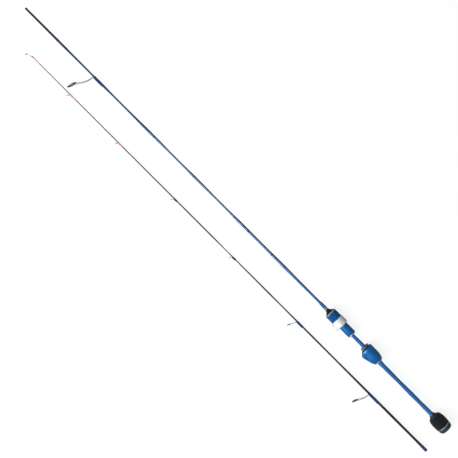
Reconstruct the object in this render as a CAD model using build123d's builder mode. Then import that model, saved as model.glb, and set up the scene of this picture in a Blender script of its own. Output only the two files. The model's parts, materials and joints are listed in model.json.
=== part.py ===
"""Two-piece ultralight spinning rod, its two sections laid side by side.

The butt section lies on the X axis with its butt cap at the origin and its ferrule towards +X.
The guides stand towards +Y, and the tip section lies parallel to the butt section on that side.
All sizes are in millimetres.
"""
from build123d import *
from math import cos, radians, sin
import os

# ---------------------------------------------------------------- fits and small edges
GLUE = 0.05            # radial gap of a glued or wound seat
RUNNING = 0.08         # radial gap of a sliding or turning fit
FERRULE_FIT = 0.03     # radial gap of the push-on ferrule
SLOT_GAP = 0.02        # gap round a foot or liner that is bedded in another piece
END_GAP = 0.3          # axial gap between the lock nut and the hood
EDGE = 0.4             # bevel on the outer edges of rings and checks
HOOD_EDGE = 0.6        # bevel on the hoods and the lock nut
OVERRUN = 1.0          # how far a cutter runs past what it cuts

# ---------------------------------------------------------------- butt blank, outer diameters
HANDLE_D = 9.4         # at its rear end
SEAT_REAR_D = 8.4      # behind the seat pipe
SEAT_FRONT_D = 6.4     # in front of the seat
MIDDLE_X = 560.0
MIDDLE_D = 5.4
SHOULDER_X = 1036.0    # from the butt cap's end to the ferrule's shoulder
SHOULDER_D = 4.5
BUTT_WALL = 0.9
FERRULE_LENGTH = 82.0
FERRULE_ROOT_D = 4.15
FERRULE_END_D = 3.75
FERRULE_WALL = 0.6

# ---------------------------------------------------------------- tip blank, from its open end
TIP_LENGTH = 1050.0
TIP_OVERHANG = 4.0     # how far its open end lies behind the butt cap's end
TIP_SOCKET_SPARE = 4.0 # the ferrule's socket is longer than the ferrule by this much
TIP_MIDDLE_AT = 284.0
TIP_UPPER_AT = 604.0
TIP_BORE_LENGTH = 544.0
TIP_BASE_D = 5.4
TIP_ABOVE_FERRULE_D = 4.8
TIP_MIDDLE_D = 3.8
TIP_UPPER_D = 2.5
TIP_END_D = 1.25
TIP_BORE_END_D = 1.2
SECTION_GAP = 5.9      # from the stripper guide's ring to the tip section's axis

# ---------------------------------------------------------------- thread windings
WRAP = 0.3             # build-up of a winding and its varnish
BAND_WRAP = 0.35
WHIP_TAPER = 1.6       # length over which a winding climbs a guide's foot
FERRULE_WHIP_LENGTH = 13.0
TIP_WHIP_LENGTH = 15.0
TIP_WHIP_SETBACK = 0.8
FRONT_BAND_X = 524.5
FRONT_BAND_LENGTH = 9.5
FRONT_TRIM_LENGTH = 1.6
REAR_BAND_X = 462.0
REAR_BAND_LENGTH = 2.0
FORE_TRIM_LENGTH = 5.4
FORE_WHIP_LENGTH = 13.0
REAR_WHIP_LENGTH = 9.0
BUTT_WHIP_LENGTH = 26.0

# ---------------------------------------------------------------- butt knob
CAP_LENGTH = 8.2
CAP_END_THICKNESS = 5.0
CAP_FLAT_R = 11.0
CAP_R = 13.6
CAP_RIM = 1.6          # straight rim in front of the cap's rounded end
SPIGOT_R = 8.0         # the cap's spigot, which carries the trim ring
BUTT_RING_LENGTH = 1.6
BUTT_RING_R = 14.0
GRIP_LENGTH = 25.2
GRIP_R = 14.5
GRIP_REAR_R = 14.0
GRIP_WIDEST_AT = 9.0   # from the grip's rear end
GRIP_SHOULDER_R = 13.1
GRIP_NOSE = 4.6        # length of the rounded front end
GRIP_FRONT_R = 9.2
BUTT_CHECK_LENGTH = 5.0
BUTT_CHECK_REAR_R = 8.0
BUTT_CHECK_RIM = 0.8   # width of its rear rim and height of its front rim

# ---------------------------------------------------------------- reel seat pipe and its nut
PIPE_R = 8.8
PIPE_WALL = 1.8
SMOOTH_LENGTH = 26.5
SADDLE_DEPTH = 0.6     # the flat for the reel foot is cut this deep
THREAD_STEP = 0.2      # the thread's crests lie this far below the smooth pipe
THREAD_SPARE = 0.9
HOOD_TRAVEL = 12.5
PIPE_RING_LENGTH = 2.3
PIPE_RING_STEP = 0.7
NUT_LENGTH = 15.5
NUT_STEP = 0.8         # the nut is this much smaller in radius than the hood
NUT_SETBACK = 1.1      # from the nut's front to the pipe's end
KNURL_COUNT = 36
KNURL_R = 0.45
KNURL_OUT = 0.3        # share of a groove's radius by which its centre lies outside the nut
KNURL_MARGIN = 1.4
NUT_RING_LENGTH = 2.2
FORE_CHECK_LENGTH = 8.4
FORE_CHECK_RIM = 2.0
FORE_CHECK_STEP = 0.4  # the check is this much smaller in radius than the thread
FORE_CHECK_WAIST = 0.3 # its radius part way along, as a share of its flare

# ---------------------------------------------------------------- sliding hood
HOOD_LENGTH = 15.9
HOOD_WALL = 3.42
POCKET_DEPTH = 11.0
POCKET_HALF_WIDTH = 6.5
POCKET_HEIGHT = 5.4    # above the saddle
POCKET_WALL = 1.3
BULGE_SLOPE = 4.5
BULGE_EDGE = 2.0
LINER_THICKNESS = 0.7
LINER_SETBACK = 0.4
WINDOW_WIDTH = 2.4
WINDOW_LENGTH = 5.0
WINDOW_AT = 7.8        # from the hood's mouth

# ---------------------------------------------------------------- fixed rear hood
REAR_HOOD_START = 181.5
REAR_HOOD_LENGTH = 34.0
SPLIT_LENGTH = 37.5    # from the fixed hood's front to the pipe
REAR_HOOD_WALL = 4.4
REAR_HOOD_END_STEP = 2.8
REAR_HOOD_SWELL = 14.0 # length over which the hood reaches its full radius
REAR_HOOD_FRONT_WALL = 2.6
REAR_HOOD_FRONT_BEVEL = 2.4
FRONT_RING_LENGTH = 1.2
CORE_SKIN = 0.2        # the core lies this far below the saddle
CORE_INSET = 0.5
CORE_NOSE = 3.6        # the core stands out of the hood by this much
FRONT_RING_WALL = 1.4
LIP_SETBACK = 9.2      # from the hood's front to the mouth's outer edge
LIP_HEIGHT = 8.5       # above the saddle
LIP_THICKNESS = 1.0
RAMP_SETBACK = 4.5
RAMP_WALL = 2.1        # on each side of the pocket
RAMP_TOE = 1.5         # the ramp's start stands this much above the saddle
RAMP_EDGE = 3.0
REAR_POCKET_DEPTH = 13.0
REAR_POCKET_TAPER = 4.0
REAR_RING_LENGTH = 1.4
REAR_CHECK_LENGTH = 3.4
REAR_CHECK_STEP = 4.2

# ---------------------------------------------------------------- line guides
# "at" is the ring centre's share of its section's length, "height" is from the blank's axis to the
# ring's centre, "root" is from the ring back to the legs' root, "bead" is the ring's section,
# "spread" is where the legs meet the hoop, in degrees from its foot side.
GUIDES = {
    "guide_1": dict(at=0.9218, height=40.4, ring_d=19.3, lean=17, root=18.2, whip=24.6,
                    wire=1.3, bead=(1.7, 2.4), spread=60, bow=3.6),
    "guide_2": dict(at=0.1543, height=28.5, ring_d=12.6, lean=19, root=9.8, whip=24.2,
                    wire=1.1, bead=(1.2, 2.0), spread=60, bow=2.3),
    "guide_3": dict(at=0.3349, height=15.2, ring_d=7.6, lean=26, root=6.2, whip=15.8,
                    wire=0.9, bead=(0.8, 1.5), spread=55, bow=0.8),
    "guide_4": dict(at=0.4954, height=5.0, ring_d=4.5, lean=15, root=2.3, whip=8.6,
                    wire=0.7, bead=(0.5, 1.1), spread=40, bow=0.0),
    "guide_5": dict(at=0.6429, height=4.9, ring_d=4.5, lean=15, root=2.3, whip=7.7,
                    wire=0.7, bead=(0.5, 1.1), spread=40, bow=0.0),
    "guide_6": dict(at=0.7843, height=4.5, ring_d=4.4, lean=15, root=2.2, whip=8.5,
                    wire=0.7, bead=(0.5, 1.1), spread=40, bow=0.0),
    "guide_7": dict(at=0.9067, height=4.1, ring_d=4.4, lean=15, root=2.2, whip=9.5,
                    wire=0.7, bead=(0.5, 1.1), spread=40, bow=0.0),
}
FOOT_THICKNESS = 0.7
FOOT_TOE = 0.3
FOOT_RAMP = 3.0
FOOT_HEEL = 0.2
FOOT_TO_WIRE = 1.9     # the foot's width for each unit of its hoop's wire
LEG_TO_WIRE = 0.82     # the legs are thinner than the hoop
BEAD_ROUNDING = 0.35

# ---------------------------------------------------------------- tip-top
TIP_TOP_TUBE_LENGTH = 9.5
TIP_TOP_TUBE_WALL = 0.35
TIP_TOP_COVER = 8.0    # how far the tube covers the blank
TIP_TOP_REACH = 12.0   # from the blank's end to the ring's centre
TIP_TOP_HEIGHT = 4.7
TIP_TOP_RING_D = 4.8
TIP_TOP_LEAN = 28
TIP_TOP_WIRE = 0.7
TIP_TOP_BEAD = (0.6, 1.2)
TIP_TOP_LEG_OVERLAP = 2.0
TIP_TOP_LEG_SINK = 0.1
TIP_TOP_WHIP_LENGTH = 10.5

# ---------------------------------------------------------------- places along the butt section
GRIP_START = CAP_LENGTH + BUTT_RING_LENGTH
GRIP_END = GRIP_START + GRIP_LENGTH
BUTT_CHECK_END = GRIP_END + BUTT_CHECK_LENGTH
REAR_HOOD_FRONT = REAR_HOOD_START + REAR_HOOD_LENGTH
REAR_RING_START = REAR_HOOD_START - REAR_RING_LENGTH
REAR_CHECK_START = REAR_RING_START - REAR_CHECK_LENGTH
PIPE_START = REAR_HOOD_FRONT + SPLIT_LENGTH
THREAD_START = PIPE_START + SMOOTH_LENGTH
PIPE_END = THREAD_START + NUT_LENGTH + NUT_SETBACK + HOOD_TRAVEL + THREAD_SPARE
NUT_END = PIPE_END - NUT_SETBACK
NUT_START = NUT_END - NUT_LENGTH
HOOD_END = NUT_START - END_GAP
HOOD_START = HOOD_END - HOOD_LENGTH
FORE_CHECK_END = PIPE_END + FORE_CHECK_LENGTH
FORE_TRIM_END = FORE_CHECK_END + FORE_TRIM_LENGTH
FORE_WHIP_END = FORE_TRIM_END + FORE_WHIP_LENGTH
FERRULE_END_X = SHOULDER_X + FERRULE_LENGTH

# ---------------------------------------------------------------- radii and heights that follow
SADDLE_Y = PIPE_R - SADDLE_DEPTH
THREAD_R = PIPE_R - THREAD_STEP
PIPE_BORE_R = PIPE_R - PIPE_WALL
HOOD_R = PIPE_R + RUNNING + HOOD_WALL
NUT_R = HOOD_R - NUT_STEP
NUT_BORE_R = THREAD_R + RUNNING
CORE_R = SADDLE_Y - CORE_SKIN
REAR_HOOD_R = CORE_R + REAR_HOOD_WALL
REAR_HOOD_END_R = REAR_HOOD_R - REAR_HOOD_END_STEP
LIP_X = REAR_HOOD_FRONT - LIP_SETBACK
LIP_Y = SADDLE_Y + LIP_HEIGHT
SOCKET_R = HANDLE_D / 2 + GLUE

# ---------------------------------------------------------------- places of the tip section
STRIPPER = GUIDES["guide_1"]
TIP_BASE_X = -TIP_OVERHANG
TIP_END_X = TIP_BASE_X + TIP_LENGTH
SOCKET_END_X = TIP_BASE_X + FERRULE_LENGTH + TIP_SOCKET_SPARE
SOCKET_BORE_R = FERRULE_END_D / 2 + FERRULE_FIT
TIP_Y = STRIPPER["height"] + STRIPPER["ring_d"] / 2 * cos(radians(STRIPPER["lean"])) + SECTION_GAP
TIP_Z = GUIDES["guide_2"]["ring_d"] / 2 - GRIP_R    # that guide's ring and the grip lie on one surface

BUTT_STATIONS = [
    (CAP_END_THICKNESS, HANDLE_D), (PIPE_START, SEAT_REAR_D), (FORE_TRIM_END, SEAT_FRONT_D),
    (MIDDLE_X, MIDDLE_D), (SHOULDER_X, SHOULDER_D),
]
TIP_STATIONS = [
    (TIP_BASE_X, TIP_BASE_D), (SOCKET_END_X, TIP_ABOVE_FERRULE_D),
    (TIP_BASE_X + TIP_MIDDLE_AT, TIP_MIDDLE_D), (TIP_BASE_X + TIP_UPPER_AT, TIP_UPPER_D),
    (TIP_END_X, TIP_END_D),
]


# ---------------------------------------------------------------- helpers
def radius_at(stations, x):
    """Outer radius of a tapered blank at x."""
    for (x0, d0), (x1, d1) in zip(stations, stations[1:]):
        if x0 <= x <= x1:
            return (d0 + (d1 - d0) * (x - x0) / (x1 - x0)) / 2
    raise ValueError(f"x = {x} is off the blank")


def surface(stations, start, end, layer=0.0):
    """(x, radius) points along a blank from start to end, a layer proud of it."""
    between = [x for x, _ in stations if start < x < end]
    return [(x, radius_at(stations, x) + layer) for x in [start, *between, end]]


def turned(outline, mode=Mode.ADD, y=0.0, z=0.0):
    """Turn a closed (x, radius) outline about the line along X through (y, z)."""
    with BuildSketch(Plane(origin=(0, y, z), x_dir=(1, 0, 0), z_dir=(0, -1, 0))) as half:
        with BuildLine():
            Polyline(*outline, close=True)
        make_face()
    revolve(half.sketch, axis=Axis((0, y, z), (1, 0, 0)), mode=mode)


def profile(points, half_width, mode=Mode.ADD, y=0.0, z=0.0):
    """Extrude a closed outline drawn in the XY plane to both sides of it."""
    with BuildSketch(Plane(origin=(0, y, z))) as side:
        with BuildLine():
            Polyline(*points, close=True)
        make_face()
    extrude(side.sketch, amount=half_width, both=True, mode=mode)


def bored(start, end, radius, y=0.0, z=0.0):
    """Cut a plain bore along X from start to end."""
    turned([(start, 0), (start, radius), (end, radius), (end, 0)], mode=Mode.SUBTRACT, y=y, z=z)


def sleeve(stations, start, end, layer, y=0.0, z=0.0):
    """A winding on a blank, its ends bevelled from a third of its thickness."""
    bevel = min((end - start) / 4, layer)
    inside = surface(stations, start, end, GLUE)
    low = (start, inside[0][1] + layer / 3)
    high = (end, inside[-1][1] + layer / 3)
    outside = surface(stations, start + bevel, end - bevel, GLUE + layer)
    turned([*inside, high, *reversed(outside), low], y=y, z=z)


def ring_plane(centre, lean):
    """The plane of a guide ring: its x_dir points to the ring's top, leaning forward by `lean`."""
    tilt = radians(lean)
    return Plane(origin=centre, x_dir=(sin(tilt), cos(tilt), 0), z_dir=(cos(tilt), -sin(tilt), 0))


def bead(plane, ring_d, wire, section):
    """The hard ring inside a guide's hoop, a rounded band turned about the ring's axis."""
    radial, axial = section
    middle = ring_d / 2 - wire - GLUE - radial / 2
    across = Plane(origin=plane.origin, x_dir=plane.x_dir, z_dir=plane.y_dir)
    with BuildSketch(across) as band:
        with Locations((middle, 0)):
            RectangleRounded(radial, axial, min(radial, axial) * BEAD_ROUNDING)
    revolve(band.sketch, axis=Axis(plane.origin, plane.z_dir))


def hoop(plane, ring_d, wire):
    """The wire loop that holds a guide's ring."""
    across = Plane(origin=plane.origin, x_dir=plane.x_dir, z_dir=plane.y_dir)
    with BuildSketch(across) as round_wire:
        with Locations((ring_d / 2 - wire / 2, 0)):
            Circle(wire / 2)
    revolve(round_wire.sketch, axis=Axis(plane.origin, plane.z_dir))


def leg(start, end, wire, knee=Vector(0, 0, 0)):
    """A wire leg from start to end, straight or bowed by moving its middle by a knee."""
    with BuildLine() as path:
        if knee.length:
            ThreePointArc(start, (start + end) / 2 + knee, end)
        else:
            Line(start, end)
    with BuildSketch(Plane(origin=path.line @ 0, z_dir=path.line % 0)) as section:
        Circle(wire / 2)
    sweep(section.sketch, path=path.line)


def legs_of(guide, ring_x, foot_y, y, z):
    """Start, end and knee of both legs of a guide, from its foot to its hoop."""
    tilt = radians(guide["lean"])
    spread = radians(guide["spread"])
    reach = guide["ring_d"] / 2 - guide["wire"] / 2
    ways = []
    for side in (-1, 1):
        start = Vector(ring_x - guide["root"], y + foot_y + FOOT_THICKNESS / 2, z)
        end = Vector(
            ring_x - reach * cos(spread) * sin(tilt),
            y + guide["height"] - reach * cos(spread) * cos(tilt),
            z + side * reach * sin(spread),
        )
        ways.append((start, end, Vector(-guide["bow"], 0, side * guide["bow"] / 4)))
    return ways


def foot_outline(toe, heel, foot_y, gap=0.0):
    """Side outline of a guide's foot, a wedge that lies along the blank from toe to heel."""
    return [
        (toe - gap, foot_y - gap), (heel + gap, foot_y - gap),
        (heel + gap, foot_y + FOOT_THICKNESS + gap), (toe + FOOT_RAMP, foot_y + FOOT_THICKNESS + gap),
        (toe - gap, foot_y + FOOT_TOE + gap),
    ]


def in_front_of_mouth(setback):
    """Everything in front of the fixed hood's slanted mouth, as an outline that can be cut away."""
    reach = 3 * LIP_Y
    edge = LIP_X - setback
    return [(edge - reach, LIP_Y + reach), (edge + LIP_Y, 0),
            (edge + LIP_Y + 2 * reach, 0), (edge + LIP_Y + 2 * reach, LIP_Y + reach)]


def export(piece, name):
    """Label a finished piece and write it to its own file."""
    piece.part.label = name
    export_step(piece.part, f"parts/{name}.step")


os.makedirs("parts", exist_ok=True)

# ---------------------------------------------------------------- butt blank and its windings
with BuildPart() as butt_blank:
    outside = [*surface(BUTT_STATIONS, CAP_END_THICKNESS, SHOULDER_X),
               (SHOULDER_X, FERRULE_ROOT_D / 2), (FERRULE_END_X, FERRULE_END_D / 2)]
    inside = [(FERRULE_END_X, FERRULE_END_D / 2 - FERRULE_WALL),
              (SHOULDER_X, FERRULE_ROOT_D / 2 - FERRULE_WALL),
              *reversed(surface(BUTT_STATIONS[:-1], CAP_END_THICKNESS, MIDDLE_X, -BUTT_WALL))]
    turned([*outside, *inside])
export(butt_blank, "butt_blank")

BUTT_WINDINGS = {
    "ferrule_shoulder_whip": (SHOULDER_X - FERRULE_WHIP_LENGTH, SHOULDER_X, WRAP),
    "front_band": (FRONT_BAND_X, FRONT_BAND_X + FRONT_BAND_LENGTH, BAND_WRAP),
    "front_band_trim": (FRONT_BAND_X - FRONT_TRIM_LENGTH, FRONT_BAND_X, BAND_WRAP),
    "rear_band": (REAR_BAND_X, REAR_BAND_X + REAR_BAND_LENGTH, WRAP),
    "fore_whip": (FORE_TRIM_END, FORE_WHIP_END, WRAP),
    "fore_trim_band": (FORE_CHECK_END, FORE_TRIM_END, BAND_WRAP),
    "rear_whip": (REAR_CHECK_START - REAR_WHIP_LENGTH, REAR_CHECK_START, WRAP),
    "butt_whip": (BUTT_CHECK_END, BUTT_CHECK_END + BUTT_WHIP_LENGTH, WRAP),
}
for name, (start, end, layer) in BUTT_WINDINGS.items():
    with BuildPart() as winding:
        sleeve(BUTT_STATIONS, start, end, layer)
    export(winding, name)

# ---------------------------------------------------------------- butt knob
with BuildPart() as butt_cap:
    with BuildSketch(Plane.XZ) as cap_half:
        with BuildLine():
            TangentArc((CAP_LENGTH - CAP_RIM, CAP_R), (0, CAP_FLAT_R), tangent=(-1, 0))
            Polyline((0, CAP_FLAT_R), (0, 0), (CAP_END_THICKNESS - GLUE, 0),
                     (CAP_END_THICKNESS - GLUE, SOCKET_R), (GRIP_START, SOCKET_R),
                     (GRIP_START, SPIGOT_R), (CAP_LENGTH, SPIGOT_R), (CAP_LENGTH, CAP_R),
                     (CAP_LENGTH - CAP_RIM, CAP_R))
        make_face()
    revolve(axis=Axis.X)
export(butt_cap, "butt_cap")

with BuildPart() as butt_trim_ring:
    turned([(CAP_LENGTH, SPIGOT_R + GLUE), (GRIP_START, SPIGOT_R + GLUE),
            (GRIP_START, BUTT_RING_R - EDGE), (GRIP_START - EDGE, BUTT_RING_R),
            (CAP_LENGTH + EDGE, BUTT_RING_R), (CAP_LENGTH, BUTT_RING_R - EDGE)])
export(butt_trim_ring, "butt_trim_ring")

with BuildPart() as butt_grip:
    widest = (GRIP_START + GRIP_WIDEST_AT, GRIP_R)
    with BuildSketch(Plane.XZ) as grip_half:
        with BuildLine():
            TangentArc(widest, (GRIP_START, GRIP_REAR_R), tangent=(-1, 0))
            barrel = TangentArc(widest, (GRIP_END - GRIP_NOSE, GRIP_SHOULDER_R), tangent=(1, 0))
            TangentArc(barrel @ 1, (GRIP_END, GRIP_FRONT_R), tangent=barrel % 1)
            Polyline((GRIP_END, GRIP_FRONT_R), (GRIP_END, SOCKET_R), (GRIP_START, SOCKET_R),
                     (GRIP_START, GRIP_REAR_R))
        make_face()
    revolve(axis=Axis.X)
export(butt_grip, "butt_grip")

with BuildPart() as butt_check:
    front_r = HANDLE_D / 2 + BUTT_CHECK_RIM
    turned([*surface(BUTT_STATIONS, GRIP_END, BUTT_CHECK_END, GLUE),
            (BUTT_CHECK_END, front_r - EDGE), (BUTT_CHECK_END - EDGE, front_r),
            (GRIP_END + BUTT_CHECK_RIM, BUTT_CHECK_REAR_R), (GRIP_END, BUTT_CHECK_REAR_R)])
export(butt_check, "butt_check")

# ---------------------------------------------------------------- reel seat, fixed rear half
with BuildPart() as rear_core:
    core_start = REAR_HOOD_START + CORE_INSET
    nose_end = REAR_HOOD_FRONT + CORE_NOSE
    turned([*surface(BUTT_STATIONS, core_start, nose_end, GLUE), (nose_end, CORE_R), (core_start, CORE_R)])
export(rear_core, "rear_core")

with BuildPart() as rear_front_ring:
    ring_end = REAR_HOOD_FRONT + CORE_NOSE
    ring_start = ring_end - FRONT_RING_LENGTH
    ring_r = CORE_R + FRONT_RING_WALL
    turned([(ring_start, CORE_R + GLUE), (ring_end, CORE_R + GLUE), (ring_end, ring_r - EDGE),
            (ring_end - EDGE, ring_r), (ring_start, ring_r)])
    profile([(ring_start, SADDLE_Y), (ring_end, SADDLE_Y), (ring_end, 2 * ring_r), (ring_start, 2 * ring_r)],
            ring_r, mode=Mode.SUBTRACT)
export(rear_front_ring, "rear_front_ring")

with BuildPart() as hood_ramp:
    ramp_start = REAR_HOOD_START + RAMP_SETBACK
    toe_y = SADDLE_Y + RAMP_TOE
    profile([(ramp_start, toe_y), (ramp_start + RAMP_TOE, REAR_HOOD_R - OVERRUN), (LIP_X, LIP_Y),
             (LIP_X + LIP_Y, LIP_Y), (LIP_X + LIP_Y, toe_y)], POCKET_HALF_WIDTH + RAMP_WALL)
    fillet(hood_ramp.edges().filter_by(Axis.X, tolerance=25).group_by(Axis.Y)[-1], RAMP_EDGE)


def rear_hood_body():
    """The fixed hood's barrel and ramp with its foot pocket, before the mouth is cut."""
    turned([(REAR_HOOD_START, CORE_R + GLUE), (REAR_HOOD_START, REAR_HOOD_END_R - 2 * EDGE),
            (REAR_HOOD_START + 2 * EDGE, REAR_HOOD_END_R),
            (REAR_HOOD_START + REAR_HOOD_SWELL / 2, REAR_HOOD_R - 2 * EDGE),
            (REAR_HOOD_START + REAR_HOOD_SWELL, REAR_HOOD_R),
            (REAR_HOOD_FRONT - REAR_HOOD_FRONT_BEVEL, REAR_HOOD_R),
            (REAR_HOOD_FRONT, CORE_R + REAR_HOOD_FRONT_WALL), (REAR_HOOD_FRONT, CORE_R + GLUE)])
    add(hood_ramp.part)
    top = LIP_Y - POCKET_WALL
    back = LIP_X - REAR_POCKET_DEPTH
    profile([(back, SADDLE_Y), (LIP_X + LIP_Y, SADDLE_Y), (LIP_X + LIP_Y, top), (LIP_X, top),
             (back, top - REAR_POCKET_TAPER)], POCKET_HALF_WIDTH, mode=Mode.SUBTRACT)


with BuildPart() as rear_hood:
    rear_hood_body()
    profile(in_front_of_mouth(LIP_THICKNESS), 3 * REAR_HOOD_R, mode=Mode.SUBTRACT)
export(rear_hood, "rear_hood")

with BuildPart() as rear_hood_lip:
    rear_hood_body()
    profile(in_front_of_mouth(0.0), 3 * REAR_HOOD_R, mode=Mode.SUBTRACT)
    profile(in_front_of_mouth(LIP_THICKNESS), 3 * REAR_HOOD_R, mode=Mode.INTERSECT)
export(rear_hood_lip, "rear_hood_lip")

with BuildPart() as rear_ring:
    ring_r = REAR_HOOD_END_R - 2 * EDGE
    turned([*surface(BUTT_STATIONS, REAR_RING_START, REAR_HOOD_START, GLUE), (REAR_HOOD_START, ring_r),
            (REAR_RING_START + EDGE, ring_r), (REAR_RING_START, ring_r - EDGE)])
export(rear_ring, "rear_ring")

with BuildPart() as rear_check:
    turned([*surface(BUTT_STATIONS, REAR_CHECK_START, REAR_RING_START, GLUE),
            (REAR_RING_START, REAR_HOOD_END_R - REAR_CHECK_STEP),
            (REAR_CHECK_START, radius_at(BUTT_STATIONS, REAR_CHECK_START) + 2 * WRAP)])
export(rear_check, "rear_check")

# ---------------------------------------------------------------- reel seat, front half
with BuildPart() as seat_arbor:
    turned([*surface(BUTT_STATIONS, PIPE_START, PIPE_END, GLUE), (PIPE_END, PIPE_BORE_R - GLUE),
            (PIPE_START, PIPE_BORE_R - GLUE)])
export(seat_arbor, "seat_arbor")

with BuildPart() as seat_pipe:
    turned([(PIPE_START, PIPE_BORE_R), (PIPE_END, PIPE_BORE_R), (PIPE_END, THREAD_R - EDGE),
            (PIPE_END - EDGE, THREAD_R), (THREAD_START, THREAD_R), (THREAD_START, PIPE_R),
            (PIPE_START, PIPE_R)])
    profile([(PIPE_START - OVERRUN, SADDLE_Y), (THREAD_START, SADDLE_Y),
             (THREAD_START, PIPE_R + OVERRUN), (PIPE_START - OVERRUN, PIPE_R + OVERRUN)],
            PIPE_R, mode=Mode.SUBTRACT)
export(seat_pipe, "seat_pipe")

with BuildPart() as pipe_ring:
    ring_start = PIPE_START - PIPE_RING_LENGTH
    ring_r = PIPE_R - PIPE_RING_STEP
    turned([*surface(BUTT_STATIONS, ring_start, PIPE_START, GLUE), (PIPE_START, ring_r),
            (ring_start + 2 * EDGE, ring_r), (ring_start, ring_r - 2 * EDGE)])
export(pipe_ring, "pipe_ring")

with BuildPart() as fore_check:
    rim_r = THREAD_R - FORE_CHECK_STEP
    flare_start = PIPE_END + FORE_CHECK_RIM
    nose_r = radius_at(BUTT_STATIONS, FORE_CHECK_END) + 2 * WRAP
    waist = ((flare_start + FORE_CHECK_END) / 2, nose_r + (rim_r - nose_r) * FORE_CHECK_WAIST)
    turned([*surface(BUTT_STATIONS, PIPE_END, FORE_CHECK_END, GLUE), (FORE_CHECK_END, nose_r), waist,
            (flare_start, rim_r), (PIPE_END, rim_r)])
export(fore_check, "fore_check")

# ---------------------------------------------------------------- sliding hood and lock nut
with BuildPart() as pocket_bulge:
    pocket_top = SADDLE_Y + POCKET_HEIGHT
    bulge_top = pocket_top + POCKET_WALL
    bulge_end = HOOD_START + POCKET_DEPTH + POCKET_WALL + BULGE_SLOPE / 3
    profile([(HOOD_START, 0), (HOOD_START, bulge_top), (bulge_end - BULGE_SLOPE, bulge_top),
             (bulge_end, HOOD_R - OVERRUN), (bulge_end, 0)], POCKET_HALF_WIDTH + POCKET_WALL)
    fillet(pocket_bulge.edges().filter_by(Axis.X).group_by(Axis.Y)[-1], BULGE_EDGE)

with BuildPart() as moving_hood:
    turned([(HOOD_START, 0), (HOOD_START, HOOD_R - HOOD_EDGE), (HOOD_START + HOOD_EDGE, HOOD_R),
            (HOOD_END - HOOD_EDGE, HOOD_R), (HOOD_END, HOOD_R - HOOD_EDGE), (HOOD_END, 0)])
    add(pocket_bulge.part)
    bored(HOOD_START - OVERRUN, HOOD_END + OVERRUN, PIPE_R + RUNNING)
    profile([(HOOD_START - OVERRUN, 0), (HOOD_START + POCKET_DEPTH, 0),
             (HOOD_START + POCKET_DEPTH, pocket_top), (HOOD_START - OVERRUN, pocket_top)],
            POCKET_HALF_WIDTH, mode=Mode.SUBTRACT)
    window_plane = Plane(origin=(HOOD_START + WINDOW_AT, pocket_top, 0), x_dir=(1, 0, 0), z_dir=(0, 1, 0))
    with BuildSketch(window_plane) as window:
        SlotOverall(WINDOW_LENGTH, WINDOW_WIDTH, rotation=90)
    extrude(window.sketch, amount=2 * POCKET_WALL, mode=Mode.SUBTRACT)
export(moving_hood, "moving_hood")

with BuildPart() as hood_liner:
    liner_start = HOOD_START + LINER_SETBACK
    liner_end = HOOD_START + POCKET_DEPTH - LINER_SETBACK
    liner_low = pocket_top - LINER_THICKNESS
    liner_high = pocket_top - SLOT_GAP
    profile([(liner_start, liner_low), (liner_start, liner_high), (liner_end, liner_high),
             (liner_end, liner_low)], POCKET_HALF_WIDTH - SLOT_GAP)
export(hood_liner, "hood_liner")

with BuildPart() as lock_nut:
    turned([(NUT_START, NUT_BORE_R), (NUT_START, NUT_R - HOOD_EDGE), (NUT_START + HOOD_EDGE, NUT_R),
            (NUT_END - HOOD_EDGE, NUT_R), (NUT_END, NUT_R - HOOD_EDGE), (NUT_END, NUT_BORE_R)])
    with BuildSketch(Plane.YZ.offset(NUT_START + KNURL_MARGIN)) as grooves:
        with PolarLocations(NUT_R + KNURL_R * KNURL_OUT, KNURL_COUNT):
            Circle(KNURL_R)
    extrude(grooves.sketch, amount=NUT_LENGTH - 2 * KNURL_MARGIN, mode=Mode.SUBTRACT)
export(lock_nut, "lock_nut")

with BuildPart() as nut_ring:
    ring_end = NUT_END + NUT_RING_LENGTH
    ring_r = NUT_R - HOOD_EDGE
    turned([(NUT_END, NUT_BORE_R), (ring_end, NUT_BORE_R), (ring_end, NUT_BORE_R + 2 * EDGE),
            (NUT_END + EDGE, ring_r), (NUT_END, ring_r)])
export(nut_ring, "nut_ring")

# ---------------------------------------------------------------- tip section
with BuildPart() as tip_ferrule_socket:
    mouth_r = FERRULE_ROOT_D / 2 + FERRULE_FIT
    turned([(TIP_BASE_X, mouth_r), *surface(TIP_STATIONS, TIP_BASE_X, SOCKET_END_X),
            (SOCKET_END_X, SOCKET_BORE_R), (TIP_BASE_X + FERRULE_LENGTH, SOCKET_BORE_R)],
           y=TIP_Y, z=TIP_Z)
export(tip_ferrule_socket, "tip_ferrule_socket")

with BuildPart() as tip_blank:
    bore_end = TIP_BASE_X + TIP_BORE_LENGTH
    turned([(SOCKET_END_X, SOCKET_BORE_R), *surface(TIP_STATIONS, SOCKET_END_X, TIP_END_X), (TIP_END_X, 0),
            (bore_end, 0), (bore_end, TIP_BORE_END_D / 2)], y=TIP_Y, z=TIP_Z)
export(tip_blank, "tip_blank")

TOP_TUBE_START = TIP_END_X - TIP_TOP_COVER
TIP_WHIP_START = TIP_BASE_X + TIP_WHIP_SETBACK
TIP_WINDINGS = {
    "tip_ferrule_whip": (TIP_WHIP_START, TIP_WHIP_START + TIP_WHIP_LENGTH),
    "tip_top_whip": (TOP_TUBE_START - TIP_TOP_WHIP_LENGTH, TOP_TUBE_START),
}
for name, (start, end) in TIP_WINDINGS.items():
    with BuildPart() as winding:
        sleeve(TIP_STATIONS, start, end, WRAP, y=TIP_Y, z=TIP_Z)
    export(winding, name)

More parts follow.
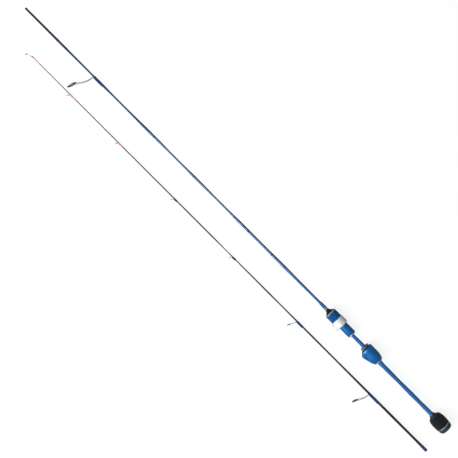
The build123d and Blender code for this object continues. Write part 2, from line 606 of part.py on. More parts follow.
# ---------------------------------------------------------------- line guides
for name, guide in GUIDES.items():
    if guide is STRIPPER:
        stations, y, z = BUTT_STATIONS, 0.0, 0.0
        ring_x = guide["at"] * SHOULDER_X
    else:
        stations, y, z = TIP_STATIONS, TIP_Y, TIP_Z
        ring_x = TIP_BASE_X + guide["at"] * TIP_LENGTH
    root = ring_x - guide["root"]
    whip_end = root - guide["wire"]
    whip_start = whip_end - guide["whip"]
    toe = whip_start + WHIP_TAPER
    heel = root + guide["wire"] / 2 + FOOT_HEEL
    foot_y = radius_at(stations, whip_start) + GLUE
    foot_half = guide["wire"] * FOOT_TO_WIRE / 2
    plane = ring_plane((ring_x, y + guide["height"], z), guide["lean"])

    with BuildPart() as frame:
        hoop(plane, guide["ring_d"], guide["wire"])
        for start, end, knee in legs_of(guide, ring_x, foot_y, y, z):
            leg(start, end, guide["wire"] * LEG_TO_WIRE, knee)
        profile(foot_outline(toe, heel, foot_y), foot_half, y=y, z=z)
    export(frame, f"{name}_frame")

    with BuildPart() as ring:
        bead(plane, guide["ring_d"], guide["wire"], guide["bead"])
    export(ring, f"{name}_ring")

    with BuildPart() as whip:
        lift = FOOT_THICKNESS / 2
        full_r = foot_y + lift + WRAP
        low_r = foot_y + WRAP / 2 - lift
        turned([(whip_start, 0), (whip_start, low_r), (whip_start + 2 * WHIP_TAPER, full_r),
                (whip_end - EDGE, full_r), (whip_end, full_r - WRAP / 2), (whip_end, 0)], y=y + lift, z=z)
        bore = surface(stations, whip_start - OVERRUN, whip_end + OVERRUN, GLUE)
        turned([(whip_start - OVERRUN, 0), *bore, (whip_end + OVERRUN, 0)], mode=Mode.SUBTRACT, y=y, z=z)
        profile(foot_outline(toe, heel, foot_y, gap=SLOT_GAP), foot_half + SLOT_GAP,
                mode=Mode.SUBTRACT, y=y, z=z)
    export(whip, f"{name}_whip")

# ---------------------------------------------------------------- tip-top
tube_r = radius_at(TIP_STATIONS, TOP_TUBE_START) + GLUE
tube_end = TOP_TUBE_START + TIP_TOP_TUBE_LENGTH
top_ring_x = TIP_END_X + TIP_TOP_REACH
top_plane = ring_plane((top_ring_x, TIP_Y + TIP_TOP_HEIGHT, TIP_Z), TIP_TOP_LEAN)

with BuildPart() as tip_top_frame:
    hoop(top_plane, TIP_TOP_RING_D, TIP_TOP_WIRE)
    reach = TIP_TOP_RING_D / 2 - TIP_TOP_WIRE / 2
    leg_z = tube_r + TIP_TOP_TUBE_WALL - TIP_TOP_LEG_SINK
    for side in (-1, 1):
        start = Vector(tube_end - TIP_TOP_LEG_OVERLAP, TIP_Y, TIP_Z + side * leg_z)
        end = Vector(top_ring_x, TIP_Y + TIP_TOP_HEIGHT, TIP_Z + side * reach)
        leg(start, end, TIP_TOP_WIRE * LEG_TO_WIRE)
    turned([(TOP_TUBE_START, 0), (TOP_TUBE_START, tube_r + TIP_TOP_TUBE_WALL),
            (tube_end, tube_r + TIP_TOP_TUBE_WALL), (tube_end, 0)], y=TIP_Y, z=TIP_Z)
    bored(TOP_TUBE_START - OVERRUN, TIP_END_X + GLUE, tube_r, y=TIP_Y, z=TIP_Z)
export(tip_top_frame, "tip_top_frame")

with BuildPart() as tip_top_ring:
    bead(top_plane, TIP_TOP_RING_D, TIP_TOP_WIRE, TIP_TOP_BEAD)
export(tip_top_ring, "tip_top_ring")
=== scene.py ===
"""The looks of a two-piece spinning rod, built round its CAD frame.

The butt section lies on the X axis with its cap at the origin, the guides stand towards +Y, and the
tip section lies beside it on that side. Lengths are in metres; MM turns millimetres into them.
Angles round a section's axis are measured from +Y, the side of the guides, towards +Z.
"""
import json
from math import cos, pi, radians, sin, sqrt, tau

import bmesh
import bpy
import numpy as np
from bpy.props import FloatProperty, FloatVectorProperty, IntProperty, PointerProperty
from mathutils import Matrix, Vector


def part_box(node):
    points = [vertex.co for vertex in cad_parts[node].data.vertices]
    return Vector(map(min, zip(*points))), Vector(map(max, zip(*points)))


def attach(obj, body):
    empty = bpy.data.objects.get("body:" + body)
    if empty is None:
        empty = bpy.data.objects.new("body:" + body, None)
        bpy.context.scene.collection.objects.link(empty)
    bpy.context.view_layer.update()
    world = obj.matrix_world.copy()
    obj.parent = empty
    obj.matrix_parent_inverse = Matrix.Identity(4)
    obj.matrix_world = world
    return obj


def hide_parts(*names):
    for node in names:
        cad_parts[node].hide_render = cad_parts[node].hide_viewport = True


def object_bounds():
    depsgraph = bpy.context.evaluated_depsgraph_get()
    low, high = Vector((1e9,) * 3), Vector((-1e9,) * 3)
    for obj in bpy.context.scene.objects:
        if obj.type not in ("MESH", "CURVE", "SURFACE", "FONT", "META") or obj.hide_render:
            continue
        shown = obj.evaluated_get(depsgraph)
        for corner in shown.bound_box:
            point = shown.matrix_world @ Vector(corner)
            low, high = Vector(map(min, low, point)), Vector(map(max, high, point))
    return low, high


bl_info = {
    "name": "Spinning rod looks",
    "version": (1, 0, 0),
    "blender": (4, 5, 0),
    "location": "3D View > Sidebar > Rod",
    "description": "Builds the visible pieces and finishes of a two-piece spinning rod",
    "category": "Object",
}

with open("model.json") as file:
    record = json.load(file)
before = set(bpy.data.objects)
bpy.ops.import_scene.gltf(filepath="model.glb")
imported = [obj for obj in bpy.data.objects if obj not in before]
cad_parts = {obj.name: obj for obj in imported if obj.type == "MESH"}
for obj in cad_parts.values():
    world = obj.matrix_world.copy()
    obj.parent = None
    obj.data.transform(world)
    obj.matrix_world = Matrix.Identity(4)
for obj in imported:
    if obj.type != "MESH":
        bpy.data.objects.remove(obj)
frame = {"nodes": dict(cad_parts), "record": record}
CAD_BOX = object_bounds()
RECORD = frame["record"]
SLOT_OF = {part["node"]: part["material_slot"] for part in RECORD["subparts"]}
BODY_OF = {node: body for body, nodes in RECORD["behaviour"]["bodies"].items() for node in nodes}

# ---------------------------------------------------------------- sizes that pieces share
MM = 0.001
ROUND = 72             # points round a large turned piece
SMALL_ROUND = 48       # points round a small hoop
FINE_ROUND = 144       # points round a piece that isn't round all the way
SLENDER = 40           # points round a blank
GAP = 0.05 * MM        # glue gap between a ring or check and the blank
SHARP = radians(32)    # edges steeper than this stay sharp
TINY = 1e-6
FACING = 0.05          # an angle whose cosine is below this doesn't face the guides

# ---------------------------------------------------------------- shapes the frame doesn't give
BLANK_STEP = 30 * MM   # length of the blanks' faces
PAINT_EDGE = 0.12 * MM # bevel of the paint at the ferrule's shoulder
FERRULE_ROOT_R = 2.075 * MM
BUTT_WALL = 0.9 * MM
FERRULE_WALL = 0.6 * MM
SOCKET_MOUTH_R = 2.105 * MM
SOCKET_END_R = 1.905 * MM
TIP_BORE_R = 0.6 * MM
TIP_BORE_END = 540 * MM

CAP_R = 13.6 * MM
CAP_BEVEL = 0.5 * MM
CAP_DISH = 0.5 * MM        # depth of the shallow dish in the cap's end
CAP_DISH_R = 5.4 * MM
CAP_DISH_RIM = 5.8 * MM
SPIGOT_LENGTH = 1.4 * MM
SPIGOT_ROOT_R = 9.0 * MM
SPIGOT_R = 8.6 * MM
KNOB_BORE_R = 8.8 * MM     # bore of the foam and the ring, round the cap's spigot
GRIP_BORE_R = 5.0 * MM     # bore of the foam's front end

SADDLE_Y = 8.2 * MM
PIPE_BORE_R = 7.0 * MM
THREAD_START = 279.5 * MM
THREAD_CREST_R = 8.6 * MM
THREAD_DEPTH = 0.75 * MM
THREAD_RIDGE_R = 0.95 * MM     # radius of the ridge's rounded section
THREAD_RUN_OUT = 1.2 * MM
CORE_R = 8.0 * MM

POCKET_HALF = 6.5 * MM     # half width of both foot pockets
HOOD_BORE_R = 8.88 * MM
HOOD_R = 12.3 * MM
HOOD_POCKET_DEPTH = 11.0 * MM
HOOD_POCKET_TOP = 13.6 * MM
HOOD_POCKET_WALL = 1.3 * MM
HOOD_SLOPE = 4.5 * MM      # length of the slope behind the pocket
HOOD_SLOPE_SINK = 1.2 * MM
WINDOW_AT = 7.8 * MM       # from the sliding hood's mouth
WINDOW_LENGTH = 5.0 * MM
WINDOW_WIDTH = 2.4 * MM
WINDOW_POINTS = 24
NUT_BORE_R = 8.68 * MM
NUT_RIM = 1.5 * MM         # plain rim at each end of the knurl

REAR_BARREL = {"at": (0, 0.4, 1.0, 3.5, 7, 10.5, 14, 20, 31.6, 33, 34),
               "radius": (8.4, 9.1, 9.6, 10.75, 11.6, 12.1, 12.35, 12.4, 12.4, 11.7, 10.6)}   # in mm
RAMP_START = 4.5 * MM      # from the fixed hood's rear end
RAMP_START_Y = 11.4 * MM
RAMP_HALF = 8.6 * MM
RAMP_FALL = 30 * MM        # how steeply the ramp's line drops behind its start
LIP_SETBACK = 9.2 * MM     # from the fixed hood's front end back to its lip
LIP_REACH = radians(62)    # the lip goes this far round, each way
LIP_SECTIONS = 49
CUT_ROUNDS = 30            # rounds of looking for where the mouth's cut meets a surface
LIP_Y = 16.7 * MM
LIP_THICKNESS = 1.0 * MM
REAR_POCKET_TOP = 15.4 * MM
REAR_POCKET_DEPTH = 13.0 * MM
REAR_POCKET_TAPER = 4.0 * MM
REAR_CHECK_TURNS = 6
FORE_CHECK_STEPS = 7
FORE_CHECK_RIM = 2.0 * MM  # length of the rim behind its cone
FORE_CHECK_CURVE = 2.1     # 1 makes the cone straight, more makes it hollow

# "lean" tilts the ring's top forward, "root" is from the ring back to the legs' root, "wire" is the
# hoop's, "bead" is half the ring's section, "spread" is where the legs meet the hoop, in degrees
# from its foot side, and "bow" is how far they bend.
GUIDES = {
    "guide_1": dict(lean=17, root=18.2, wire=1.3, bead=(0.85, 1.2), spread=60, bow=3.6),
    "guide_2": dict(lean=19, root=9.8, wire=1.1, bead=(0.6, 1.0), spread=60, bow=2.3),
    "guide_3": dict(lean=26, root=6.2, wire=0.9, bead=(0.4, 0.75), spread=55, bow=0.8),
    "guide_4": dict(lean=15, root=2.3, wire=0.7, bead=(0.25, 0.55), spread=40, bow=0.0),
    "guide_5": dict(lean=15, root=2.3, wire=0.7, bead=(0.25, 0.55), spread=40, bow=0.0),
    "guide_6": dict(lean=15, root=2.2, wire=0.7, bead=(0.25, 0.55), spread=40, bow=0.0),
    "guide_7": dict(lean=15, root=2.2, wire=0.7, bead=(0.25, 0.55), spread=40, bow=0.0),
}
HOOP_DEPTH = 0.62          # half the hoop's depth for each unit of wire
LEG_R = 0.41               # radius of a leg for each unit of wire
BRACE_R = 0.3
FOOT_THICKNESS = 0.7 * MM
FOOT_TO_WIRE = 0.95        # the foot's half width for each unit of wire
FOOT_RAMP = 2.4 * MM       # a winding climbs onto the foot over this length
FOOT_LEAD = 1.2 * MM       # and starts this far before the toe
WRAP_THICKNESS = 0.3 * MM
TIP_TOP = dict(lean=28, wire=0.7, bead=(0.3, 0.6))
TIP_TOP_TUBE = 9.5 * MM
TIP_TOP_WALL = 0.35 * MM
LARGE_HOOP = 10 * MM       # a hoop wider than this has more points round it
PAINT_DEEPENS = 300 * MM   # the blank's paint turns deeper from here
PAINT_DEEP = 460 * MM      # to here
FLOOR_GLOW = 0.82          # a lit table: keeps the floor pale under the soft lights
FLOOR_THICKNESS = 5 * MM
VIEW_CENTRE = (0.5548, 0.0231)
WHITE = (1.0, 1.0, 1.0, 1.0)


def srgb(red, green, blue):
    """Linear colour of an everyday 0 to 255 one."""
    return tuple((v / 255 / 12.92) if v <= 10 else ((v / 255 + 0.055) / 1.055) ** 2.4
                 for v in (red, green, blue))


# ---------------------------------------------------------------- properties
def colour_property(name, description, rgb):
    """A colour that a user can change."""
    return FloatVectorProperty(name=name, description=description, default=srgb(*rgb), size=3,
                               min=0.0, max=1.0, subtype="COLOR")


def length_property(name, description, millimetres):
    """A length that a user can change."""
    return FloatProperty(name=name, description=description, default=millimetres * MM, min=0.0,
                         unit="LENGTH", subtype="DISTANCE", precision=5)


class RodColours(bpy.types.PropertyGroup):
    """Colours of the rod's finishes."""
    paint: colour_property("Blank paint", "Gloss paint of the butt blank", (40, 116, 182))
    carbon: colour_property("Carbon", "Bare blank of the tip section and the ferrule", (46, 46, 48))
    blue_thread: colour_property("Blue thread", "Most of the windings", (24, 68, 124))
    bright_thread: colour_property("Bright blue thread", "Windings on the handle", (40, 122, 186))
    red_thread: colour_property("Red thread", "Windings near the tip", (250, 152, 138))
    metallic_thread: colour_property("Metallic thread", "Trim bands", (176, 190, 186))
    seat: colour_property("Seat", "Paint of the seat pipe and the fixed hood", (10, 108, 172))
    nut: colour_property("Lock nut", "Anodised lock nut", (20, 110, 168))
    hood: colour_property("Sliding hood", "Bright metal of the sliding hood", (226, 226, 228))
    foam: colour_property("Foam", "Butt knob", (32, 36, 39))
    cap: colour_property("Cap", "Butt cap", (58, 80, 92))


class RodSizes(bpy.types.PropertyGroup):
    """Sizes of the rod's fine detail."""
    fine_pitch: length_property("Fine thread pitch", "From turn to turn of a guide's winding", 0.24)
    coarse_pitch: length_property("Coarse thread pitch", "From turn to turn of the butt winding", 0.62)
    screw_pitch: length_property("Screw pitch", "Pitch of the seat's screw thread", 2.5)
    knurl_columns: IntProperty(name="Knurl columns", description="Knurl points round the lock nut",
                               default=44, min=8, max=120)
    knurl_rows: IntProperty(name="Knurl rows", description="Knurl points along the lock nut",
                            default=8, min=1, max=40)
    knurl_height: length_property("Knurl height", "Height of the knurl's points", 0.42)
    foam_cell: length_property("Foam cell", "Size of the foam's surface cells", 0.55)


class RodStage(bpy.types.PropertyGroup):
    """The floor, the light and the camera."""
    floor_size: length_property("Floor size", "Side of the square floor", 9000)
    frame_width: length_property("Frame width", "Width of the view at the rod", 859.7)
    camera_height: length_property("Camera height", "Camera above the rod", 1900)
    key: FloatProperty(name="Key light", description="Strength of the light on the guides' side",
                       default=48.0, min=0.0, unit="POWER")
    top: FloatProperty(name="Top light", description="Strength of the light overhead",
                       default=22.0, min=0.0, unit="POWER")
    contrast: FloatProperty(name="Display gamma", description="Below 1 the middle tones are darker",
                            default=0.82, min=0.3, max=2.0)
    room: FloatProperty(name="Room light", description="Strength of the even light all round",
                        default=0.3, min=0.0)


def settings():
    """The scene's property groups: colours, sizes and stage."""
    scene = bpy.context.scene
    return scene.rod_colours, scene.rod_sizes, scene.rod_stage


# ---------------------------------------------------------------- finishes
class Finish:
    """A node material, built up in a few steps from textures on Object coordinates."""

    def __init__(self, name, colour, **surface):
        self.material = bpy.data.materials.new(name)
        self.material.use_nodes = True
        self.nodes = self.material.node_tree.nodes
        self.links = self.material.node_tree.links
        self.shader = self.nodes["Principled BSDF"]
        self.shader.inputs["Base Color"].default_value = (*colour, 1.0)
        for label, value in surface.items():
            self.shader.inputs[label.replace("_", " ").title().replace("Ior", "IOR")].default_value = value
        self.place = self.nodes.new("ShaderNodeTexCoord").outputs["Object"]

    def node(self, kind, links=None, **values):
        """A node with some inputs linked and others set."""
        made = self.nodes.new(kind)
        for socket, source in (links or {}).items():
            self.links.new(source, made.inputs[socket])
        for socket, value in values.items():
            made.inputs[socket.replace("_", " ").title()].default_value = value
        return made

    def stretched(self, stretch):
        """Object coordinates, scaled along each axis."""
        scaled = self.nodes.new("ShaderNodeVectorMath")
        scaled.operation = "MULTIPLY"
        self.links.new(self.place, scaled.inputs[0])
        scaled.inputs[1].default_value = stretch
        return scaled.outputs[0]

    def noise(self, scale, stretch=(1, 1, 1), detail=3.0):
        """Soft noise from 0 to 1, `scale` features to the metre."""
        return self.node("ShaderNodeTexNoise", {"Vector": self.stretched(stretch)},
                         Scale=scale, Detail=detail).outputs["Fac"]

    def cells(self, scale, stretch=(1, 1, 1)):
        """Distance from the middle of irregular cells."""
        return self.node("ShaderNodeTexVoronoi", {"Vector": self.stretched(stretch)},
                         Scale=scale).outputs["Distance"]

    def turns(self, pitch, tilt=(1, 0, 0), wobble=0.6):
        """Bands across a section, one to each pitch."""
        wave = self.node("ShaderNodeTexWave", {"Vector": self.stretched(tilt)},
                         Scale=tau / 20 / pitch, Distortion=wobble, Detail=1.0)
        wave.bands_direction = "X"
        return wave.outputs["Fac"]

    def along(self, start, end):
        """From 0 to 1 between two stations on the rod."""
        parts = self.node("ShaderNodeSeparateXYZ", {"Vector": self.place})
        return self.spread(parts.outputs["X"], 0.0, 1.0, start, end)

    def added(self, first, second):
        """The sum of two sources."""
        total = self.nodes.new("ShaderNodeMath")
        self.links.new(first, total.inputs[0])
        self.links.new(second, total.inputs[1])
        return total.outputs[0]

    def spread(self, source, low, high, start=0.3, end=0.7):
        """The source's middle range spread over low to high."""
        return self.node("ShaderNodeMapRange", {"Value": source}, From_Min=start, From_Max=end,
                         To_Min=low, To_Max=high).outputs["Result"]

    def tint(self, source, dark, light, start=0.3, end=0.7):
        """Base colour that goes from dark to light with the source."""
        mix = self.nodes.new("ShaderNodeMix")
        mix.data_type = "RGBA"
        self.links.new(self.spread(source, 0.0, 1.0, start, end), mix.inputs["Factor"])
        mix.inputs[6].default_value = (*dark, 1.0)
        mix.inputs[7].default_value = (*light, 1.0)
        self.links.new(mix.outputs[2], self.shader.inputs["Base Color"])
        return self

    def roughen(self, source, low, high, label="Roughness"):
        """Roughness that goes from low to high with the source."""
        self.links.new(self.spread(source, low, high), self.shader.inputs[label])
        return self

    def relief(self, source, depth):
        """Bumps of that depth, on top of any made before."""
        bump = self.node("ShaderNodeBump", {"Height": source}, Distance=depth, Strength=1.0)
        normal = self.shader.inputs["Normal"]
        if normal.is_linked:
            self.links.new(normal.links[0].from_socket, bump.inputs["Normal"])
        self.links.new(bump.outputs["Normal"], normal)
        return self


def shade(colour, factor):
    """A colour made darker or lighter."""
    return tuple(min(1.0, v * factor) for v in colour)


def painted(name, colour, fleck):
    """Gloss paint over a rigid part, with fine metal flake under a clear coat."""
    look = Finish(name, colour, roughness=0.34, metallic=0.25, coat_weight=1.0, coat_roughness=0.05)
    look.tint(look.cells(2600), shade(colour, 1 - fleck), shade(colour, 1 + fleck), 0.1, 0.6)
    look.relief(look.noise(900, detail=1.0), 0.01 * MM)
    return look.roughen(look.noise(120), 0.28, 0.42).material


def blank_paint():
    """Blue gloss over the blank's spiral wrap, a little uneven along its length."""
    colour = settings()[0].paint
    look = Finish("blue_blank", colour, roughness=0.3, metallic=0.2, coat_weight=1.0, coat_roughness=0.04)
    deeper = look.added(look.noise(55, (1, 6, 6)), look.along(PAINT_DEEPENS, PAINT_DEEP))
    look.tint(deeper, shade(colour, 1.15), shade(colour, 0.42), 0.3, 1.6)
    look.relief(look.turns(1.6 * MM, (1, 0.12, 0.12)), 0.006 * MM)
    look.relief(look.noise(1500, detail=1.0), 0.004 * MM)
    return look.roughen(look.noise(240, (0.3, 4, 4)), 0.24, 0.38).material


def bare_carbon():
    """Unpainted carbon with the faint spiral ridges of its wrapping tape and fine scuffs."""
    colour = settings()[0].carbon
    look = Finish("carbon", colour, roughness=0.42, coat_weight=0.35, coat_roughness=0.3)
    look.tint(look.noise(420, (0.25, 3, 3)), shade(colour, 0.7), shade(colour, 1.45))
    look.relief(look.turns(2.2 * MM, (1, 0.2, 0.2)), 0.02 * MM)
    return look.roughen(look.noise(700, (0.12, 4, 4)), 0.3, 0.58).material


def thread(name, colour, metallic=0.0):
    """Wound thread under varnish: each turn a shade of its own, with fine fibres."""
    look = Finish(name, colour, roughness=0.42, metallic=metallic, coat_weight=0.9, coat_roughness=0.08,
                  sheen_weight=0.15)
    look.tint(look.noise(3800, (1, 0.12, 0.12), 2.0), shade(colour, 0.72), shade(colour, 1.3))
    look.relief(look.noise(9000, (1, 0.2, 0.2)), 0.006 * MM)
    return look.roughen(look.noise(900), 0.34, 0.55).material


def metal(name, colour, rough, along=0.03, depth=0.003, metallic=1.0):
    """Turned metal: fine tool lines round the part and small changes in shine."""
    look = Finish(name, colour, roughness=rough, metallic=metallic)
    look.tint(look.noise(260), shade(colour, 0.95), shade(colour, 1.04))
    look.relief(look.noise(7000, (1, along, along), 2.0), depth * MM)
    return look.roughen(look.noise(4200, (1, along, along)), rough * 0.7, rough * 1.4).material


def moulded(name, colour, rough, grain):
    """Moulded plastic with a fine grain."""
    look = Finish(name, colour, roughness=rough, specular_ior_level=0.45)
    look.tint(look.noise(500), shade(colour, 0.8), shade(colour, 1.25))
    look.relief(look.cells(3200), grain * MM)
    return look.roughen(look.noise(1200), rough * 0.8, rough * 1.2).material


def foam():
    """Closed-cell foam, sanded matt: small pits and a soft mottle."""
    colour, cell = settings()[0].foam, settings()[1].foam_cell
    look = Finish("eva_black", colour, roughness=0.88, sheen_weight=0.25, specular_ior_level=0.3)
    look.tint(look.noise(0.45 / cell, detail=5.0), shade(colour, 0.55), shade(colour, 1.9))
    look.relief(look.cells(1 / cell), 0.12 * MM)
    look.relief(look.noise(4 / cell, detail=4.0), 0.03 * MM)
    return look.roughen(look.noise(0.6 / cell), 0.78, 0.98).material


def ceramic():
    """Polished dark ceramic."""
    look = Finish("guide_ceramic", srgb(44, 46, 52), roughness=0.16, coat_weight=0.6, coat_roughness=0.03)
    look.tint(look.noise(900), srgb(32, 34, 40), srgb(62, 64, 72))
    return look.roughen(look.noise(2400), 0.1, 0.22).material


def nut_metal():
    """Anodised aluminium, its knurl a little worn."""
    colour = settings()[0].nut
    look = Finish("nut_blue", colour, roughness=0.34, metallic=0.45, coat_weight=0.3, coat_roughness=0.2)
    look.tint(look.noise(800), shade(colour, 0.75), shade(colour, 1.35))
    look.relief(look.noise(5200), 0.006 * MM)
    return look.roughen(look.noise(1500), 0.26, 0.46).material


FINISHES = {
    "blue_blank": blank_paint,
    "carbon": bare_carbon,
    "blue_thread": lambda: thread("blue_thread", settings()[0].blue_thread),
    "bright_thread": lambda: thread("bright_thread", settings()[0].bright_thread),
    "black_thread": lambda: thread("black_thread", srgb(30, 30, 32)),
    "red_thread": lambda: thread("red_thread", settings()[0].red_thread),
    "silver_thread": lambda: thread("silver_thread", settings()[0].metallic_thread, 0.7),
    "seat_blue": lambda: painted("seat_blue", settings()[0].seat, 0.16),
    "nut_blue": nut_metal,
    "hood_silver": lambda: metal("hood_silver", settings()[0].hood, 0.4, metallic=0.15),
    "trim_silver": lambda: metal("trim_silver", srgb(206, 208, 208), 0.3, metallic=0.6),
    "gunmetal": lambda: metal("gunmetal", srgb(104, 108, 116), 0.3),
    "black_plastic": lambda: moulded("black_plastic", srgb(38, 38, 42), 0.5, 0.015),
    "cap_dark": lambda: moulded("cap_dark", settings()[0].cap, 0.28, 0.004),
    "eva_black": foam,
    "guide_steel": lambda: metal("guide_steel", srgb(176, 176, 178), 0.28, 1.0, 0.002, 0.8),
    "guide_ceramic": ceramic,
}


def finish_of(slot):
    """The material of one of the record's slots, made the first time it is asked for."""
    return bpy.data.materials.get("finish_" + slot) or new_finish(slot)


def new_finish(slot):
    """Makes a slot's material."""
    material = FINISHES[slot]()
    material.name = "finish_" + slot
    return material


# ---------------------------------------------------------------- mesh helpers
def circle(x, radius, centre=(0.0, 0.0), count=ROUND):
    """A ring of points round a section's axis, or its one point where the radius is nothing."""
    y, z = centre
    if radius < TINY:
        return [(x, y, z)]
    return [(x, y + radius * cos(tau * i / count), z + radius * sin(tau * i / count)) for i in range(count)]


def skin(rings, ends="open"):
    """A mesh over rings of points. A one-point ring is a pole; `ends` is open, joined or capped."""
    corners, starts, faces = [], [], []
    for ring in rings:
        starts.append(len(corners))
        corners.extend(ring)
    pairs = list(zip(range(len(rings)), range(1, len(rings))))
    if ends == "joined":
        pairs.append((len(rings) - 1, 0))
    for a, b in pairs:
        count = max(len(rings[a]), len(rings[b]))
        for i in range(count):
            j = (i + 1) % count
            face = [starts[a] + i % len(rings[a]), starts[a] + j % len(rings[a]),
                    starts[b] + j % len(rings[b]), starts[b] + i % len(rings[b])]
            faces.append(list(dict.fromkeys(face)))
    if ends == "capped":
        faces.append([starts[0] + i for i in range(len(rings[0]))])
        faces.append([starts[-1] + i for i in range(len(rings[-1]))])
    made = bmesh.new()
    points = [made.verts.new(corner) for corner in corners]
    for face in faces:
        made.faces.new([points[i] for i in face])
    bmesh.ops.recalc_face_normals(made, faces=made.faces)
    mesh = bpy.data.meshes.new("skin")
    made.to_mesh(mesh)
    made.free()
    return mesh


def joined(meshes):
    """One mesh of several shells."""
    made = bmesh.new()
    for mesh in meshes:
        made.from_mesh(mesh)
    mesh = bpy.data.meshes.new("joined")
    made.to_mesh(mesh)
    made.free()
    return mesh


def softened(outline, radius, steps=3, closed=False):
    """An (x, radius) outline with its corners rounded off."""
    points = [Vector(p) for p in outline]
    count = len(points)
    soft = []
    for i, corner in enumerate(points):
        if not closed and i in (0, count - 1):
            soft.append(corner)
            continue
        before, after = points[i - 1], points[(i + 1) % count]
        cut_back = min(radius, (corner - before).length * 0.45, (after - corner).length * 0.45)
        start = corner + (before - corner).normalized() * cut_back
        end = corner + (after - corner).normalized() * cut_back
        for k in range(steps + 1):
            t = k / steps
            soft.append(start * (1 - t) ** 2 + corner * 2 * t * (1 - t) + end * t ** 2)
    return [tuple(p) for p in soft]


def turned(outline, centre=(0.0, 0.0), count=ROUND, ends="open"):
    """A mesh turned about a section's axis from an (x, radius) outline."""
    return skin([circle(x, r, centre, count) for x, r in outline], ends)


def hand_in(name, mesh, nodes, slot=None, finish=None):
    """Makes the finished piece that stands for those CAD nodes and rides on their body."""
    mesh.materials.clear()
    slot = slot or SLOT_OF[nodes[0]]
    mesh.materials.append(finish_of(finish or slot))
    mesh.polygons.foreach_set("material_index", [0] * len(mesh.polygons))
    mesh.shade_smooth()
    mesh.set_sharp_from_angle(angle=SHARP)
    mesh.name = name
    piece = bpy.data.objects.new(name, mesh)
    bpy.context.scene.collection.objects.link(piece)
    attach(piece, BODY_OF[nodes[0]])
    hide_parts(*nodes)
    return piece


def turned_piece(node, outline, edge, steps=3, finish=None):
    """The finished piece for a CAD node that is turned from a closed outline, its edges rounded."""
    mesh = turned(softened(outline, edge, steps, closed=True), ends="joined")
    return hand_in(node + "_finished", mesh, [node], finish=finish)


def ring_piece(node, inner, edge):
    """The finished piece for a CAD node that is a plain ring."""
    start, end, outer = span(node)
    return turned_piece(node, [(start, inner), (start, outer), (end, outer), (end, inner)], edge)


def span(node):
    """Start, end and outer radius of a turned CAD node."""
    low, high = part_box(node)
    return low.x, high.x, (high.z - low.z) / 2


def centre_of(node):
    """Y and Z of the axis of a turned CAD node."""
    low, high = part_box(node)
    return (low.y + high.y) / 2, (low.z + high.z) / 2


def outline_of(node):
    """The bulging (x, radius) outline of a turned CAD node, without its bore."""
    y, z = centre_of(node)
    mesh = frame["nodes"][node].data
    points = sorted({(round(v.co.x, 6), round(sqrt((v.co.y - y) ** 2 + (v.co.z - z) ** 2), 6))
                     for v in mesh.vertices})
    hull = []
    for point in points:
        while len(hull) > 1 and bends_in(hull[-2], hull[-1], point):
            hull.pop()
        hull.append(point)
    return hull


def bends_in(a, b, c):
    """Whether b lies on or below the line from a to c."""
    return (b[0] - a[0]) * (c[1] - a[1]) - (b[1] - a[1]) * (c[0] - a[0]) >= 0


def stations_of(nodes, centre):
    """(x, outer radius) along a tapered blank, from its CAD nodes."""
    widest = {}
    for node in nodes:
        for v in frame["nodes"][node].data.vertices:
            x = round(v.co.x, 5)
            widest[x] = max(widest.get(x, 0.0), sqrt((v.co.y - centre[0]) ** 2 + (v.co.z - centre[1]) ** 2))
    xs = sorted(widest)
    return np.array(xs), np.array([widest[x] for x in xs])


TIP_CENTRE = centre_of("tip_blank")
BUTT_BLANK = stations_of(["butt_blank"], (0.0, 0.0))
TIP_BLANK = stations_of(["tip_blank", "tip_ferrule_socket"], TIP_CENTRE)


def blank_radius(x, section="butt"):
    """Outer radius of a blank at x."""
    xs, radii = TIP_BLANK if section == "tip" else BUTT_BLANK
    return float(np.interp(x, xs, radii))


def steps(start, end, length):
    """Even stations from start to end, about that far apart."""
    count = max(1, round((end - start) / length))
    return [start + (end - start) * i / count for i in range(count + 1)]


# ---------------------------------------------------------------- Geometry Nodes
CIRCLE_RADIUS = 4      # the curve circle node's radius input: another input has the same name


